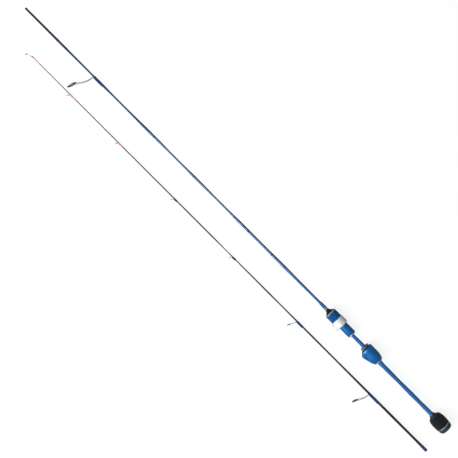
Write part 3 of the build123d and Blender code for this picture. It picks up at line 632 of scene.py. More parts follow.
class Tree:
    """A Geometry Nodes tree that is built in code."""

    KINDS = {"float": "NodeSocketFloat", "int": "NodeSocketInt", "material": "NodeSocketMaterial"}

    def __init__(self, name, inputs):
        self.tree = bpy.data.node_groups.new(name, "GeometryNodeTree")
        sockets = self.tree.interface
        sockets.new_socket("Geometry", in_out="INPUT", socket_type="NodeSocketGeometry")
        for label, kind in inputs.items():
            sockets.new_socket(label, in_out="INPUT", socket_type=self.KINDS[kind])
        sockets.new_socket("Geometry", in_out="OUTPUT", socket_type="NodeSocketGeometry")
        self.given = self.tree.nodes.new("NodeGroupInput").outputs
        self.result = self.tree.nodes.new("NodeGroupOutput").inputs["Geometry"]

    def feed(self, socket, value):
        """Links a socket or a Value, or sets a plain one."""
        if isinstance(value, Value):
            value = value.socket
        if isinstance(value, bpy.types.NodeSocket):
            self.tree.links.new(value, socket)
        else:
            socket.default_value = value

    def node(self, kind, inputs=None, **options):
        """A node with its options and inputs set."""
        made = self.tree.nodes.new(kind)
        for option, value in options.items():
            setattr(made, option, value)
        for socket, value in (inputs or {}).items():
            self.feed(made.inputs[socket], value)
        return made

    def math(self, operation, *values):
        """The result of a Math node."""
        made = self.node("ShaderNodeMath", dict(enumerate(values)), operation=operation)
        return Value(self, made.outputs[0])

    def vector(self, x, y, z):
        """A vector of three numbers."""
        return self.node("ShaderNodeCombineXYZ", {"X": x, "Y": y, "Z": z}).outputs[0]

    def value(self, label):
        """One of the tree's inputs, for use in a formula."""
        return Value(self, self.given[label])

    def chosen(self, test, yes, no):
        """One value where the test is 1 and the other where it is 0."""
        return no + (yes - no) * test

    def tube(self, path, radius):
        """A round tube along a curve node's curve, with as many sides as the tree is given."""
        section = self.node("GeometryNodeCurvePrimitiveCircle",
                            {"Resolution": self.given["Sides"], CIRCLE_RADIUS: radius})
        tube = self.node("GeometryNodeCurveToMesh", {
            "Curve": path.outputs[0], "Profile Curve": section.outputs[0], "Fill Caps": True})
        return tube.outputs[0]

    def with_base(self, geometry):
        """Geometry joined to the mesh that the tree is given."""
        both = self.node("GeometryNodeJoinGeometry")
        self.tree.links.new(geometry, both.inputs[0])
        self.tree.links.new(self.given["Geometry"], both.inputs[0])
        return both.outputs[0]

    def close(self, geometry):
        """Ends the tree: real geometry with its material."""
        real = self.node("GeometryNodeRealizeInstances", {"Geometry": geometry}).outputs[0]
        done = self.node("GeometryNodeSetMaterial", {"Geometry": real, "Material": self.given["Material"]})
        self.tree.links.new(done.outputs[0], self.result)
        return self.tree


class Value:
    """A number inside a tree, so that a formula reads as one."""

    def __init__(self, tree, socket):
        self.tree = tree
        self.socket = socket

    def __add__(self, other):
        return self.tree.math("ADD", self, other)

    def __sub__(self, other):
        return self.tree.math("SUBTRACT", self, other)

    def __rsub__(self, other):
        return self.tree.math("SUBTRACT", other, self)

    def __mul__(self, other):
        return self.tree.math("MULTIPLY", self, other)

    def __truediv__(self, other):
        return self.tree.math("DIVIDE", self, other)

    def __lt__(self, other):
        return self.tree.math("LESS_THAN", self, other)


def winding_tree():
    """A strand wound along a tapered blank, and over a guide's foot where there is one."""
    tree = Tree("winding", {
        "Start": "float", "End": "float", "Start Radius": "float", "End Radius": "float",
        "Centre Y": "float", "Centre Z": "float", "Turns": "int", "Steps": "int", "Sides": "int",
        "Strand Radius": "float", "Strand Sink": "float", "Foot Height": "float",
        "Foot Half Width": "float", "Foot Start": "float", "Foot Ramp": "float", "Material": "material"})
    turns, count_round = tree.value("Turns"), tree.value("Steps")
    strand = tree.value("Strand Radius")
    last = turns * count_round
    line = tree.node("GeometryNodeMeshLine", {"Count": last + 1})
    index = Value(tree, tree.node("GeometryNodeInputIndex").outputs[0])
    share = index / last
    x = tree.value("Start") + (tree.value("End") - tree.value("Start")) * share
    angle = index / count_round * tau
    from_end = tree.math("MINIMUM", index, last - index) / count_round
    sink = (1 - tree.math("MINIMUM", from_end, 1.0)) * tree.value("Strand Sink")
    radius = (tree.value("Start Radius") + (tree.value("End Radius") - tree.value("Start Radius")) * share
              - sink * strand)
    climbed = tree.math("MINIMUM", tree.math("MAXIMUM", (x - tree.value("Foot Start"))
                                             / tree.value("Foot Ramp"), 0.0), 1.0)
    top = radius + tree.value("Foot Height") * climbed
    half = tree.value("Foot Half Width") * tree.math("POWER", climbed, 0.5)
    corner = tree.math("SQRT", top * top + half * half)
    corner_angle = tree.math("ARCTAN2", half, top)
    touch = corner_angle + tree.math("ARCCOSINE", tree.math("MINIMUM", radius / corner, 1.0))
    off_top = tree.math("ABSOLUTE", tree.math("WRAP", angle, pi, -pi))
    over_foot = top / tree.math("COSINE", tree.math("MINIMUM", off_top, corner_angle))
    down_side = radius / tree.math("COSINE", touch - tree.math("MINIMUM", off_top, touch))
    wound = tree.chosen(off_top < corner_angle, over_foot, tree.chosen(off_top < touch, down_side, radius))
    place = tree.vector(x, tree.value("Centre Y") + wound * tree.math("COSINE", angle),
                        tree.value("Centre Z") + wound * tree.math("SINE", angle))
    placed = tree.node("GeometryNodeSetPosition", {"Geometry": line.outputs[0], "Position": place})
    path = tree.node("GeometryNodeMeshToCurve", {"Mesh": placed.outputs[0]})
    outward = tree.vector(0.0, tree.math("COSINE", angle), tree.math("SINE", angle))
    path = tree.node("GeometryNodeSetCurveNormal", {"Curve": path.outputs[0], "Normal": outward},
                     mode="FREE")
    return tree.close(tree.with_base(tree.tube(path, strand)))


def wire_tree():
    """Round wire along a chain of edges."""
    tree = Tree("wire", {"Wire Radius": "float", "Sides": "int", "Material": "material"})
    path = tree.node("GeometryNodeMeshToCurve", {"Mesh": tree.given["Geometry"]})
    return tree.close(tree.tube(path, tree.value("Wire Radius")))


def knurl_tree():
    """Rows of cut-off pyramids round a turned part."""
    tree = Tree("knurl", {"Start": "float", "End": "float", "Radius": "float", "Columns": "int",
                          "Rows": "int", "Height": "float", "Material": "material"})
    columns, rows = tree.value("Columns"), tree.value("Rows")
    length = tree.value("End") - tree.value("Start")
    line = tree.node("GeometryNodeMeshLine", {"Count": columns * rows})
    index = Value(tree, tree.node("GeometryNodeInputIndex").outputs[0])
    row = tree.math("FLOOR", index / columns + TINY)
    angle = (index - row * columns) / columns * tau
    x = tree.value("Start") + length * (row + 0.5) / rows
    place = tree.vector(x, tree.value("Radius") * tree.math("COSINE", angle),
                        tree.value("Radius") * tree.math("SINE", angle))
    placed = tree.node("GeometryNodeSetPosition", {"Geometry": line.outputs[0], "Position": place})
    point = tree.node("GeometryNodeMeshCone", {"Vertices": 4, "Radius Top": 0.42, "Radius Bottom": 1.0,
                                               "Depth": 1.0})
    square = tree.node("GeometryNodeTransform", {"Geometry": point.outputs[0], "Rotation": (0, 0, pi / 4)})
    size = tree.vector(length / rows / sqrt(2), tree.value("Radius") * tau / columns / sqrt(2),
                       tree.value("Height"))
    spread = tree.node("GeometryNodeInstanceOnPoints", {
        "Points": placed.outputs[0], "Instance": square.outputs[0], "Scale": size,
        "Rotation": tree.vector(angle - pi / 2, 0.0, 0.0)})
    return tree.close(tree.with_base(spread.outputs[0]))


TREES = {"winding": winding_tree, "wire": wire_tree, "knurl": knurl_tree}


def grown(kind, mesh, slot, **inputs):
    """The plain mesh that a tree makes from a base mesh."""
    tree = bpy.data.node_groups.get(kind) or TREES[kind]()
    carrier = bpy.data.objects.new(kind + "_carrier", mesh)
    bpy.context.scene.collection.objects.link(carrier)
    modifier = carrier.modifiers.new(kind, "NODES")
    modifier.node_group = tree
    inputs["material"] = finish_of(slot)
    sockets = {item.name: item.identifier for item in tree.interface.items_tree if item.in_out == "INPUT"}
    for label, value in inputs.items():
        modifier[sockets[label.replace("_", " ").title()]] = value
    made = bpy.data.meshes.new_from_object(carrier.evaluated_get(bpy.context.evaluated_depsgraph_get()))
    carrier.modifiers.remove(modifier)
    bpy.data.objects.remove(carrier)
    return made


def wire_along(points, radius, slot, sides=10):
    """A round wire through those points."""
    chain = bpy.data.meshes.new("chain")
    chain.from_pydata([tuple(p) for p in points], [(i, i + 1) for i in range(len(points) - 1)], [])
    return grown("wire", chain, slot, wire_radius=radius, sides=sides)


def coiled(core, slot, ends, radii, turns, strand, centre=(0.0, 0.0), foot=None, **detail):
    """A strand wound over a core, from end to end, and over a guide's foot if there is one."""
    foot = foot or dict(foot_height=0.0, foot_half_width=0.0, foot_start=ends[0], foot_ramp=1.0)
    return grown("winding", core, slot, start=ends[0], end=ends[1], start_radius=radii[0],
                 end_radius=radii[1], centre_y=centre[0], centre_z=centre[1], turns=turns,
                 strand_radius=strand, **foot, **detail)


def wind(node, pitch, section="butt", foot=None, strand_share=0.6, finish=None):
    """A winding: a varnished sleeve with a strand wound over it from end to end."""
    start, end, _ = span(node)
    centre = TIP_CENTRE if section == "tip" else (0.0, 0.0)
    strand = pitch * strand_share
    turns = max(2, round((end - start - 2 * strand) / pitch))
    wrap = WRAP_THICKNESS - strand
    radii = [blank_radius(x, section) + wrap for x in (start, end)]
    core = [(start + strand / 2, radii[0] - wrap), (start + strand, radii[0]),
            (end - strand, radii[1]), (end - strand / 2, radii[1] - wrap)]
    mesh = coiled(turned(core, centre, SLENDER), SLOT_OF[node], (start + strand, end - strand), radii, turns,
                  strand, centre, foot, steps=36, sides=6, strand_sink=1.0)
    return hand_in(node + "_finished", mesh, [node], finish=finish)


# ---------------------------------------------------------------- operators
class RodOperator(bpy.types.Operator):
    """Builds one group of the rod's pieces."""
    bl_options = {"REGISTER", "UNDO"}

    def execute(self, context):
        self.build()
        return {"FINISHED"}


class ROD_OT_blanks(RodOperator):
    """Builds both blanks, with the bare ferrule and its socket"""
    bl_idname = "rod.blanks"
    bl_label = "Blanks"

    def build(self):
        start, end, _ = span("butt_blank")
        shoulder = span("ferrule_shoulder_whip")[1]
        stations = steps(start, shoulder - PAINT_EDGE, BLANK_STEP)
        outline = [(x, blank_radius(x)) for x in stations]
        outline.append((shoulder, blank_radius(stations[-1]) - PAINT_EDGE))
        outline.append((shoulder, FERRULE_ROOT_R - GAP))
        outline += [(x, blank_radius(x) - BUTT_WALL) for x in reversed(stations)]
        hand_in("butt_blank_painted", turned(outline, count=SLENDER, ends="joined"), ["butt_blank"])

        end_r = blank_radius(end)
        ferrule = [(shoulder - BLANK_STEP, FERRULE_ROOT_R), (shoulder, FERRULE_ROOT_R)]
        ferrule += [(x, FERRULE_ROOT_R + (end_r - FERRULE_ROOT_R) * (x - shoulder) / (end - shoulder))
                    for x in steps(shoulder, end, BLANK_STEP)[1:]]
        bore = [(end, end_r - FERRULE_WALL), (shoulder - BLANK_STEP, FERRULE_ROOT_R - FERRULE_WALL)]
        hand_in("butt_ferrule_bare", turned(softened(ferrule + bore, 0.12 * MM, closed=True), count=SLENDER,
                                            ends="joined"), ["butt_blank"], "carbon")

        start, socket_end, _ = span("tip_ferrule_socket")
        end = span("tip_blank")[1]
        outline = [(TIP_BORE_END, 0.0), (TIP_BORE_END, TIP_BORE_R), (socket_end, SOCKET_END_R),
                   (start + 0.15 * MM, SOCKET_MOUTH_R), (start, SOCKET_MOUTH_R + 0.15 * MM),
                   (start, blank_radius(start, "tip") - 0.15 * MM)]
        stations = steps(start + 0.15 * MM, end - 0.2 * MM, BLANK_STEP)
        outline += [(x, blank_radius(x, "tip")) for x in stations]
        outline += [(end, blank_radius(end, "tip") - 0.2 * MM), (end, 0.0)]
        hand_in("tip_blank_finished", turned(outline, TIP_CENTRE, SLENDER),
                ["tip_blank", "tip_ferrule_socket"])


class ROD_OT_windings(RodOperator):
    """Winds the plain thread bands of both sections"""
    bl_idname = "rod.windings"
    bl_label = "Windings"

    def build(self):
        sizes = settings()[1]
        for node in ("ferrule_shoulder_whip", "front_band", "front_band_trim", "rear_band",
                     "fore_trim_band"):
            wind(node, sizes.fine_pitch)
        for node in ("fore_whip", "rear_whip"):
            wind(node, sizes.fine_pitch, finish="bright_thread")
        wind("butt_whip", sizes.coarse_pitch, strand_share=0.5, finish="bright_thread")
        wind("tip_ferrule_whip", sizes.fine_pitch, "tip")
        wind("tip_top_whip", sizes.fine_pitch, "tip")


class ROD_OT_knob(RodOperator):
    """Builds the butt knob: foam grip, cap, trim ring and winding check"""
    bl_idname = "rod.knob"
    bl_label = "Butt knob"

    def build(self):
        cap_end = span("butt_trim_ring")[0]
        spigot_end = cap_end + SPIGOT_LENGTH
        rounded = [(x, r) for x, r in outline_of("butt_cap") if x <= cap_end + TINY and r > CAP_DISH_RIM]
        outline = [(CAP_DISH, 0.0), (CAP_DISH, CAP_DISH_R), (0.0, CAP_DISH_RIM), *rounded[:-1],
                   (cap_end - CAP_BEVEL, CAP_R), (cap_end, CAP_R - CAP_BEVEL), (cap_end, SPIGOT_ROOT_R),
                   (spigot_end, SPIGOT_R), (spigot_end, 0.0)]
        hand_in("butt_cap_finished", turned(outline), ["butt_cap"])

        ring_piece("butt_trim_ring", KNOB_BORE_R, 0.35 * MM)

        start, end, _ = span("butt_grip")
        hull = outline_of("butt_grip")
        front = hull[-1][1]
        barrel = [p for p in hull[1:-1] if p[0] > start + 0.8 * MM]
        rear = barrel[0][1] - 0.1 * MM
        outline = [(start, KNOB_BORE_R), (start, rear - 0.3 * MM), (start + 0.3 * MM, rear), *barrel,
                   (end - 0.2 * MM, front), (end, front - 0.6 * MM), (end, GRIP_BORE_R)]
        hand_in("butt_grip_finished", turned(outline, ends="joined"), ["butt_grip"])

        start, end, radius = span("butt_check")
        inner = blank_radius(start) + GAP
        outline = [(start - 0.2 * MM, inner), (start - 0.2 * MM, radius), (start + 0.9 * MM, radius),
                   (start + 1.5 * MM, radius - 0.9 * MM), (end - 1.3 * MM, inner + 1.2 * MM),
                   (end - 1.1 * MM, inner + 1.5 * MM), (end, inner + 1.2 * MM), (end, inner)]
        turned_piece("butt_check", outline, 0.3 * MM)


def box_radius(angle, half_width, top, power):
    """Radius of a rounded box that is open downwards, at an angle from +Y."""
    up, side = max(cos(angle), 0.0) / top, abs(sin(angle)) / half_width
    return 1 / (up ** power + side ** power) ** (1 / power)


def larger(a, b, power=22):
    """The larger of two lengths, rounded off where they cross."""
    scale = max(a, b)
    return scale * ((a / scale) ** power + (b / scale) ** power) ** (1 / power)


def bulged(angle, radius, half_width, top):
    """Radius of a barrel with a rounded box on its guide side."""
    if cos(angle) <= FACING:
        return radius
    return larger(radius, box_radius(angle, half_width, top, 9))


def pocketed(angle, bore, top):
    """Radius of a bore with a flat-sided foot pocket on its guide side."""
    if cos(angle) <= FACING:
        return bore
    return max(bore, min(top / cos(angle), POCKET_HALF / max(abs(sin(angle)), TINY)))


def ring_at(x, radius):
    """A ring of points whose radius is a function of the angle."""
    ring = []
    for i in range(FINE_ROUND):
        angle = tau * i / FINE_ROUND
        r = radius(angle)
        ring.append((x, r * cos(angle), r * sin(angle)))
    return ring


def saddle_cut(angle, radius):
    """A radius with the saddle's flat cut across it."""
    return min(radius, SADDLE_Y / max(cos(angle), FACING))


class ROD_OT_fixed_hood(RodOperator):
    """Builds the fixed rear hood with its slanted mouth, lip, core and rings"""
    bl_idname = "rod.fixed_hood"
    bl_label = "Fixed hood"

    def build(self):
        self.start, self.front, _ = span("rear_hood")
        self.lip_x = self.front - LIP_SETBACK
        self.hood()
        self.lip()
        self.core_and_rings()

    def outer(self, angle, x):
        """Outer radius of the hood at an angle and a place along it."""
        barrel = np.interp((x - self.start) / MM, REAR_BARREL["at"], REAR_BARREL["radius"]) * MM
        climb = (x - self.start - RAMP_START) / (self.lip_x - self.start - RAMP_START)
        top = RAMP_START_Y + (LIP_Y - RAMP_START_Y) * min(max(climb, 0.0), 1.0)
        if climb < 0:
            top = RAMP_START_Y + climb * RAMP_FALL
        return bulged(angle, float(barrel), RAMP_HALF, top)

    def inner(self, angle, x):
        """Inner radius of the hood at an angle and a place along it."""
        back = self.lip_x - REAR_POCKET_DEPTH
        rise = min(max((x - back) / REAR_POCKET_DEPTH, 0.0), 1.0)
        top = REAR_POCKET_TOP - REAR_POCKET_TAPER * (1 - rise)
        return pocketed(angle, CORE_R + GAP, top)

    def ends_at(self, angle, radius_of, setback):
        """Where the mouth's cut meets a surface, at an angle."""
        x = self.front
        for _ in range(CUT_ROUNDS):
            x = min(self.front, self.lip_x - setback + LIP_Y - radius_of(angle, x) * cos(angle))
        return x

    def ring(self, radius_of, share, setback, start):
        """A ring of a surface, a share of the way from its start to the mouth."""
        ring = []
        for i in range(FINE_ROUND):
            angle = tau * i / FINE_ROUND
            end = self.ends_at(angle, radius_of, setback)
            x = start + (end - start) * share
            r = radius_of(angle, x)
            ring.append((x, r * cos(angle), r * sin(angle)))
        return ring

    def hood(self):
        """The hood's body, from its rear end over the barrel and back through the pocket."""
        shares = [0, 0.012, 0.03, 0.08, 0.14, 0.2, 0.28, 0.36, 0.46, 0.56, 0.66, 0.76, 0.86, 0.93, 0.97, 1.0]
        rings = [self.ring(self.outer, s, LIP_THICKNESS, self.start) for s in shares]
        back = self.lip_x - REAR_POCKET_DEPTH
        rings += [self.ring(self.inner, s, LIP_THICKNESS, back) for s in (1.0, 0.7, 0.35, 0.0)]
        rings += [circle(x, CORE_R + GAP, count=FINE_ROUND) for x in (back, self.start)]
        hand_in("rear_hood_finished", skin(rings, "joined"), ["rear_hood"])

    def lip(self):
        """The mouth's lip, a rounded strip from one side of it to the other."""
        sections = []
        for angle in steps(-LIP_REACH, LIP_REACH, 2 * LIP_REACH / (LIP_SECTIONS - 1)):
            corners = []
            for radius_of, setback, proud in ((self.outer, LIP_THICKNESS, 0.02), (self.outer, 0.0, -0.22),
                                              (self.inner, 0.0, 0.15), (self.inner, LIP_THICKNESS, 0.02)):
                x = self.ends_at(angle, radius_of, setback)
                r = radius_of(angle, x) + proud * MM
                corners.append(Vector((x, r * cos(angle), r * sin(angle))))
            middle = (corners[1] + corners[2]) / 2 + Vector((0.12 * MM, 0.08 * MM, 0))
            sections.append([tuple(c) for c in (corners[0], corners[1], middle, corners[2], corners[3])])
        hand_in("rear_hood_lip_finished", skin(sections, "capped"), ["rear_hood_lip"])

    def core_and_rings(self):
        """The dark core with its nose, and the rings and check at both ends of the hood."""
        start, end, radius = span("rear_core")
        inner = blank_radius(start) + GAP
        rim = span("rear_front_ring")[0]
        outline = [(start, inner), (start, radius), (self.front + 0.4 * MM, radius),
                   (self.front + 0.8 * MM, radius - 0.5 * MM), (rim - 0.5 * MM, radius - 0.5 * MM),
                   (rim, radius), (end - 0.2 * MM, radius), (end - 0.9 * MM, radius - 0.8 * MM),
                   (end - 1.2 * MM, inner + 0.6 * MM), (end, inner + 0.4 * MM), (end, inner)]
        turned_piece("rear_core", outline, 0.2 * MM)

        start, end, radius = span("rear_front_ring")
        outline = softened([(start, CORE_R + GAP), (start, radius), (end, radius), (end, CORE_R + GAP)],
                           0.35 * MM, closed=True)
        cut = [ring_at(x, lambda angle, r=r: saddle_cut(angle, r)) for x, r in outline]
        hand_in("rear_front_ring_finished", skin(cut, "joined"), ["rear_front_ring"])
        ring_piece("rear_ring", blank_radius(span("rear_ring")[0]) + GAP, 0.4 * MM)

        start, end, radius = span("rear_check")
        inner = blank_radius(start) + GAP
        low = inner + 0.5 * MM
        outline = [(start, inner), (start, inner + 0.3 * MM)]
        for i in range(REAR_CHECK_TURNS):
            groove = start + (end - start) * (i + 0.6) / REAR_CHECK_TURNS
            r = low + (radius - low) * i / (REAR_CHECK_TURNS - 1)
            outline += [(groove - 0.22 * MM, r), (groove + 0.12 * MM, r), (groove + 0.2 * MM, r - 0.18 * MM)]
        outline += [(end, radius - 0.1 * MM), (end, inner)]
        turned_piece("rear_check", outline, 0.1 * MM, 2, "bright_thread")


class ROD_OT_seat(RodOperator):
    """Builds the seat pipe with its saddle and screw thread, its rings and the fore check"""
    bl_idname = "rod.seat"
    bl_label = "Seat pipe"

    def build(self):
        self.pipe()
        self.rings()
        self.fore_check()

    def pipe(self):
        """The pipe: a smooth part with a flat for the reel foot, then the screw thread."""
        start, end, radius = span("seat_pipe")
        root = THREAD_CREST_R - THREAD_DEPTH
        rings = []
        for x, inset in ((start, 0.3), (start + 0.1 * MM, 0.1), (start + 0.3 * MM, 0), (start + 9 * MM, 0),
                         (start + 18 * MM, 0), (THREAD_START - 0.3 * MM, 0), (THREAD_START, 0.3)):
            rings.append(ring_at(x, lambda angle, i=inset: saddle_cut(angle, radius) - i * MM))
        outline = [(THREAD_START, root), (end - 0.6 * MM, root), (end, root - 0.4 * MM), (end, PIPE_BORE_R),
                   (start, PIPE_BORE_R)]
        rings += [circle(x, r, count=FINE_ROUND) for x, r in outline]
        ridge = (THREAD_START + THREAD_RUN_OUT, end - THREAD_RUN_OUT)
        turns = round((ridge[1] - ridge[0]) / settings()[1].screw_pitch)
        radius = THREAD_CREST_R - THREAD_RIDGE_R
        mesh = coiled(skin(rings, "joined"), "seat_blue", ridge, (radius, radius), turns, THREAD_RIDGE_R,
                      steps=72, sides=14, strand_sink=1.4)
        hand_in("seat_pipe_finished", mesh, ["seat_pipe"])

    def rings(self):
        """The trim ring behind the pipe."""
        start, end, radius = span("pipe_ring")
        inner = blank_radius(start) + GAP
        outline = [(start, inner), (start, radius - 0.9 * MM), (start + 0.8 * MM, radius), (end, radius),
                   (end, inner)]
        turned_piece("pipe_ring", outline, 0.35 * MM)

    def fore_check(self):
        """The dark check in front of the seat: a rim, then a cone of stepped rings."""
        start, end, radius = span("fore_check")
        inner = blank_radius(end) + GAP
        low = inner + 0.6 * MM
        cone = start + FORE_CHECK_RIM
        width = (end - cone) / FORE_CHECK_STEPS
        outline = [(start, inner), (start, radius), (cone - 0.3 * MM, radius), (cone, radius - 0.3 * MM)]
        for i in range(FORE_CHECK_STEPS):
            x = cone + width * i
            r = low + (radius - 0.6 * MM - low) * (1 - i / FORE_CHECK_STEPS) ** FORE_CHECK_CURVE
            outline += [(x + 0.15 * width, r), (x + 0.75 * width, r - 0.25 * MM),
                        (x + 0.9 * width, r - 0.5 * MM)]
        outline += [(end, low - 0.2 * MM), (end, inner)]
        turned_piece("fore_check", outline, 0.12 * MM, 2)


class ROD_OT_sliding_hood(RodOperator):
    """Builds the sliding hood with its foot pocket and window, and the pocket's liner"""
    bl_idname = "rod.sliding_hood"
    bl_label = "Sliding hood"

    def build(self):
        low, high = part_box("moving_hood")
        start, end, top = low.x, high.x, high.y
        half = POCKET_HALF + HOOD_POCKET_WALL
        slope_end = start + HOOD_POCKET_DEPTH + HOOD_POCKET_WALL + 1.5 * MM
        drop = top - HOOD_R + HOOD_SLOPE_SINK
        rings = []
        for x, inset in ((start, 0.55), (start + 0.12 * MM, 0.2), (start + 0.45 * MM, 0),
                         (start + 3 * MM, 0), (start + 6 * MM, 0),
                         (slope_end - HOOD_SLOPE, 0), (slope_end - 3.4 * MM, 0),
                         (slope_end - 2.2 * MM, 0), (slope_end - 1 * MM, 0), (slope_end, 0),
                         (end - 0.5 * MM, 0), (end - 0.12 * MM, 0.2), (end, 0.55)):
            down = min(max((x - slope_end + HOOD_SLOPE) / HOOD_SLOPE, 0.0), 1.0)
            height = top - drop * down * down * (3 - 2 * down)
            rings.append(ring_at(x, lambda angle, h=height, i=inset:
                                 bulged(angle, HOOD_R, half, h) - i * MM))
        pocket_end = start + HOOD_POCKET_DEPTH
        bore = [(end, HOOD_BORE_R + 0.3 * MM), (end - 0.3 * MM, HOOD_BORE_R), (pocket_end, HOOD_BORE_R)]
        rings += [circle(x, r, count=FINE_ROUND) for x, r in bore]
        for x, widen in ((pocket_end, 0), (start + 0.5 * MM, 0), (start, 0.3)):
            rings.append(ring_at(x, lambda angle, w=widen:
                                 pocketed(angle, HOOD_BORE_R, HOOD_POCKET_TOP) + w * MM))
        mesh = self.with_window(skin(rings, "joined"), start + WINDOW_AT, top)
        hand_in("moving_hood_finished", mesh, ["moving_hood"])

        low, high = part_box("hood_liner")
        sections = []
        for x in (low.x, low.x + 0.2 * MM, high.x - 0.2 * MM, high.x):
            inset = 0.15 * MM if x in (low.x, high.x) else 0.0
            outline = softened([(low.z + inset, low.y + inset), (high.z - inset, low.y + inset),
                                (high.z - inset, high.y - inset), (low.z + inset, high.y - inset)],
                               0.2 * MM, closed=True)
            sections.append([(x, v, u) for u, v in outline])
        hand_in("hood_liner_finished", skin(sections, "capped"), ["hood_liner"])

    def with_window(self, mesh, x, top):
        """The hood with a slot cut through its top."""
        outline = []
        straight = (WINDOW_LENGTH - WINDOW_WIDTH) / 2
        for i in range(WINDOW_POINTS):
            angle = tau * (i + 0.5) / WINDOW_POINTS
            side = 1 if sin(angle) > 0 else -1
            outline.append((WINDOW_WIDTH / 2 * cos(angle), WINDOW_WIDTH / 2 * sin(angle) + side * straight))
        depths = (HOOD_POCKET_TOP - 1.2 * MM, top + MM)
        cutter_mesh = skin([[(x + u, y, v) for u, v in outline] for y in depths], "capped")
        hood = bpy.data.objects.new("hood_blank", mesh)
        cutter = bpy.data.objects.new("hood_cutter", cutter_mesh)
        for made in (hood, cutter):
            bpy.context.scene.collection.objects.link(made)
        cut = hood.modifiers.new("window", "BOOLEAN")
        cut.operation = "DIFFERENCE"
        cut.solver = "EXACT"
        cut.object = cutter
        done = bpy.data.meshes.new_from_object(hood.evaluated_get(bpy.context.evaluated_depsgraph_get()))
        bpy.data.objects.remove(hood)
        bpy.data.objects.remove(cutter)
        return done


class ROD_OT_lock_nut(RodOperator):
    """Builds the knurled lock nut and its front ring"""
    bl_idname = "rod.lock_nut"
    bl_label = "Lock nut"

    def build(self):
        sizes = settings()[1]
        start, end, radius = span("lock_nut")
        base = radius - sizes.knurl_height
        rim = radius - 0.15 * MM
        edge = radius - 0.6 * MM
        band = (start + NUT_RIM, end - NUT_RIM)
        outline = [(start, NUT_BORE_R), (start, edge), (start + 0.4 * MM, rim), (band[0] - 0.5 * MM, rim),
                   (band[0] - 0.2 * MM, base), (band[1] + 0.2 * MM, base), (band[1] + 0.5 * MM, rim),
                   (end - 0.4 * MM, rim), (end, edge), (end, NUT_BORE_R)]
        core = turned(softened(outline, 0.15 * MM, 2, True), count=FINE_ROUND, ends="joined")
        mesh = grown("knurl", core, "nut_blue", start=band[0], end=band[1], radius=base - 0.02 * MM,
                     columns=sizes.knurl_columns, rows=sizes.knurl_rows, height=sizes.knurl_height)
        hand_in("lock_nut_finished", mesh, ["lock_nut"])

        start, end, radius = span("nut_ring")
        outline = [(start, NUT_BORE_R), (start, radius), (start + 0.5 * MM, radius),
                   (end, NUT_BORE_R + 0.9 * MM), (end, NUT_BORE_R)]
        turned_piece("nut_ring", outline, 0.2 * MM)


def leaning(centre, lean):
    """The matrix that turns a ring made about X at the origin into a guide's leaning ring."""
    tilt = radians(lean)
    turn = Matrix(((cos(tilt), sin(tilt), 0), (-sin(tilt), cos(tilt), 0), (0, 0, 1))).to_4x4()
    return Matrix.Translation(centre) @ turn


def leaning_ring(centre, lean, outline, count):
    """A ring turned about a guide's axis from an (along, radius) outline."""
    mesh = turned(outline, count=count, ends="joined")
    mesh.transform(leaning(centre, lean))
    return mesh


def oval(middle, along, radial, count=12):
    """An oval (along, radius) outline."""
    return [(along * sin(tau * i / count), middle + radial * cos(tau * i / count)) for i in range(count)]


def hoop_mesh(centre, form, hoop_d, count):
    """The oval wire hoop that holds a guide's ceramic ring."""
    wire = form["wire"] * MM
    outline = oval(hoop_d / 2 - wire / 2, wire * HOOP_DEPTH, wire / 2)
    return leaning_ring(centre, form["lean"], outline, count)


def on_hoop(centre, down, tilt, across=0.0):
    """A point on a leaning hoop, down from its centre towards the foot and across to one side."""
    return Vector((centre.x - down * sin(tilt), centre.y - down * cos(tilt), centre.z + across))


def bead(name, centre, form, hoop_d, count):
    """The finished ceramic ring inside a hoop."""
    radial, along = (v * MM for v in form["bead"])
    middle = hoop_d / 2 - form["wire"] * MM - radial
    mesh = leaning_ring(centre, form["lean"], oval(middle, along, radial, 14), count)
    hand_in(name + "_finished", mesh, [name])


def bent(start, end, knee, count=14):
    """Points along a wire from start to end whose middle is moved by a knee."""
    control = (start + end) / 2 + knee * 2
    return [start * (1 - t) ** 2 + control * 2 * t * (1 - t) + end * t ** 2
            for t in (i / count for i in range(count + 1))]


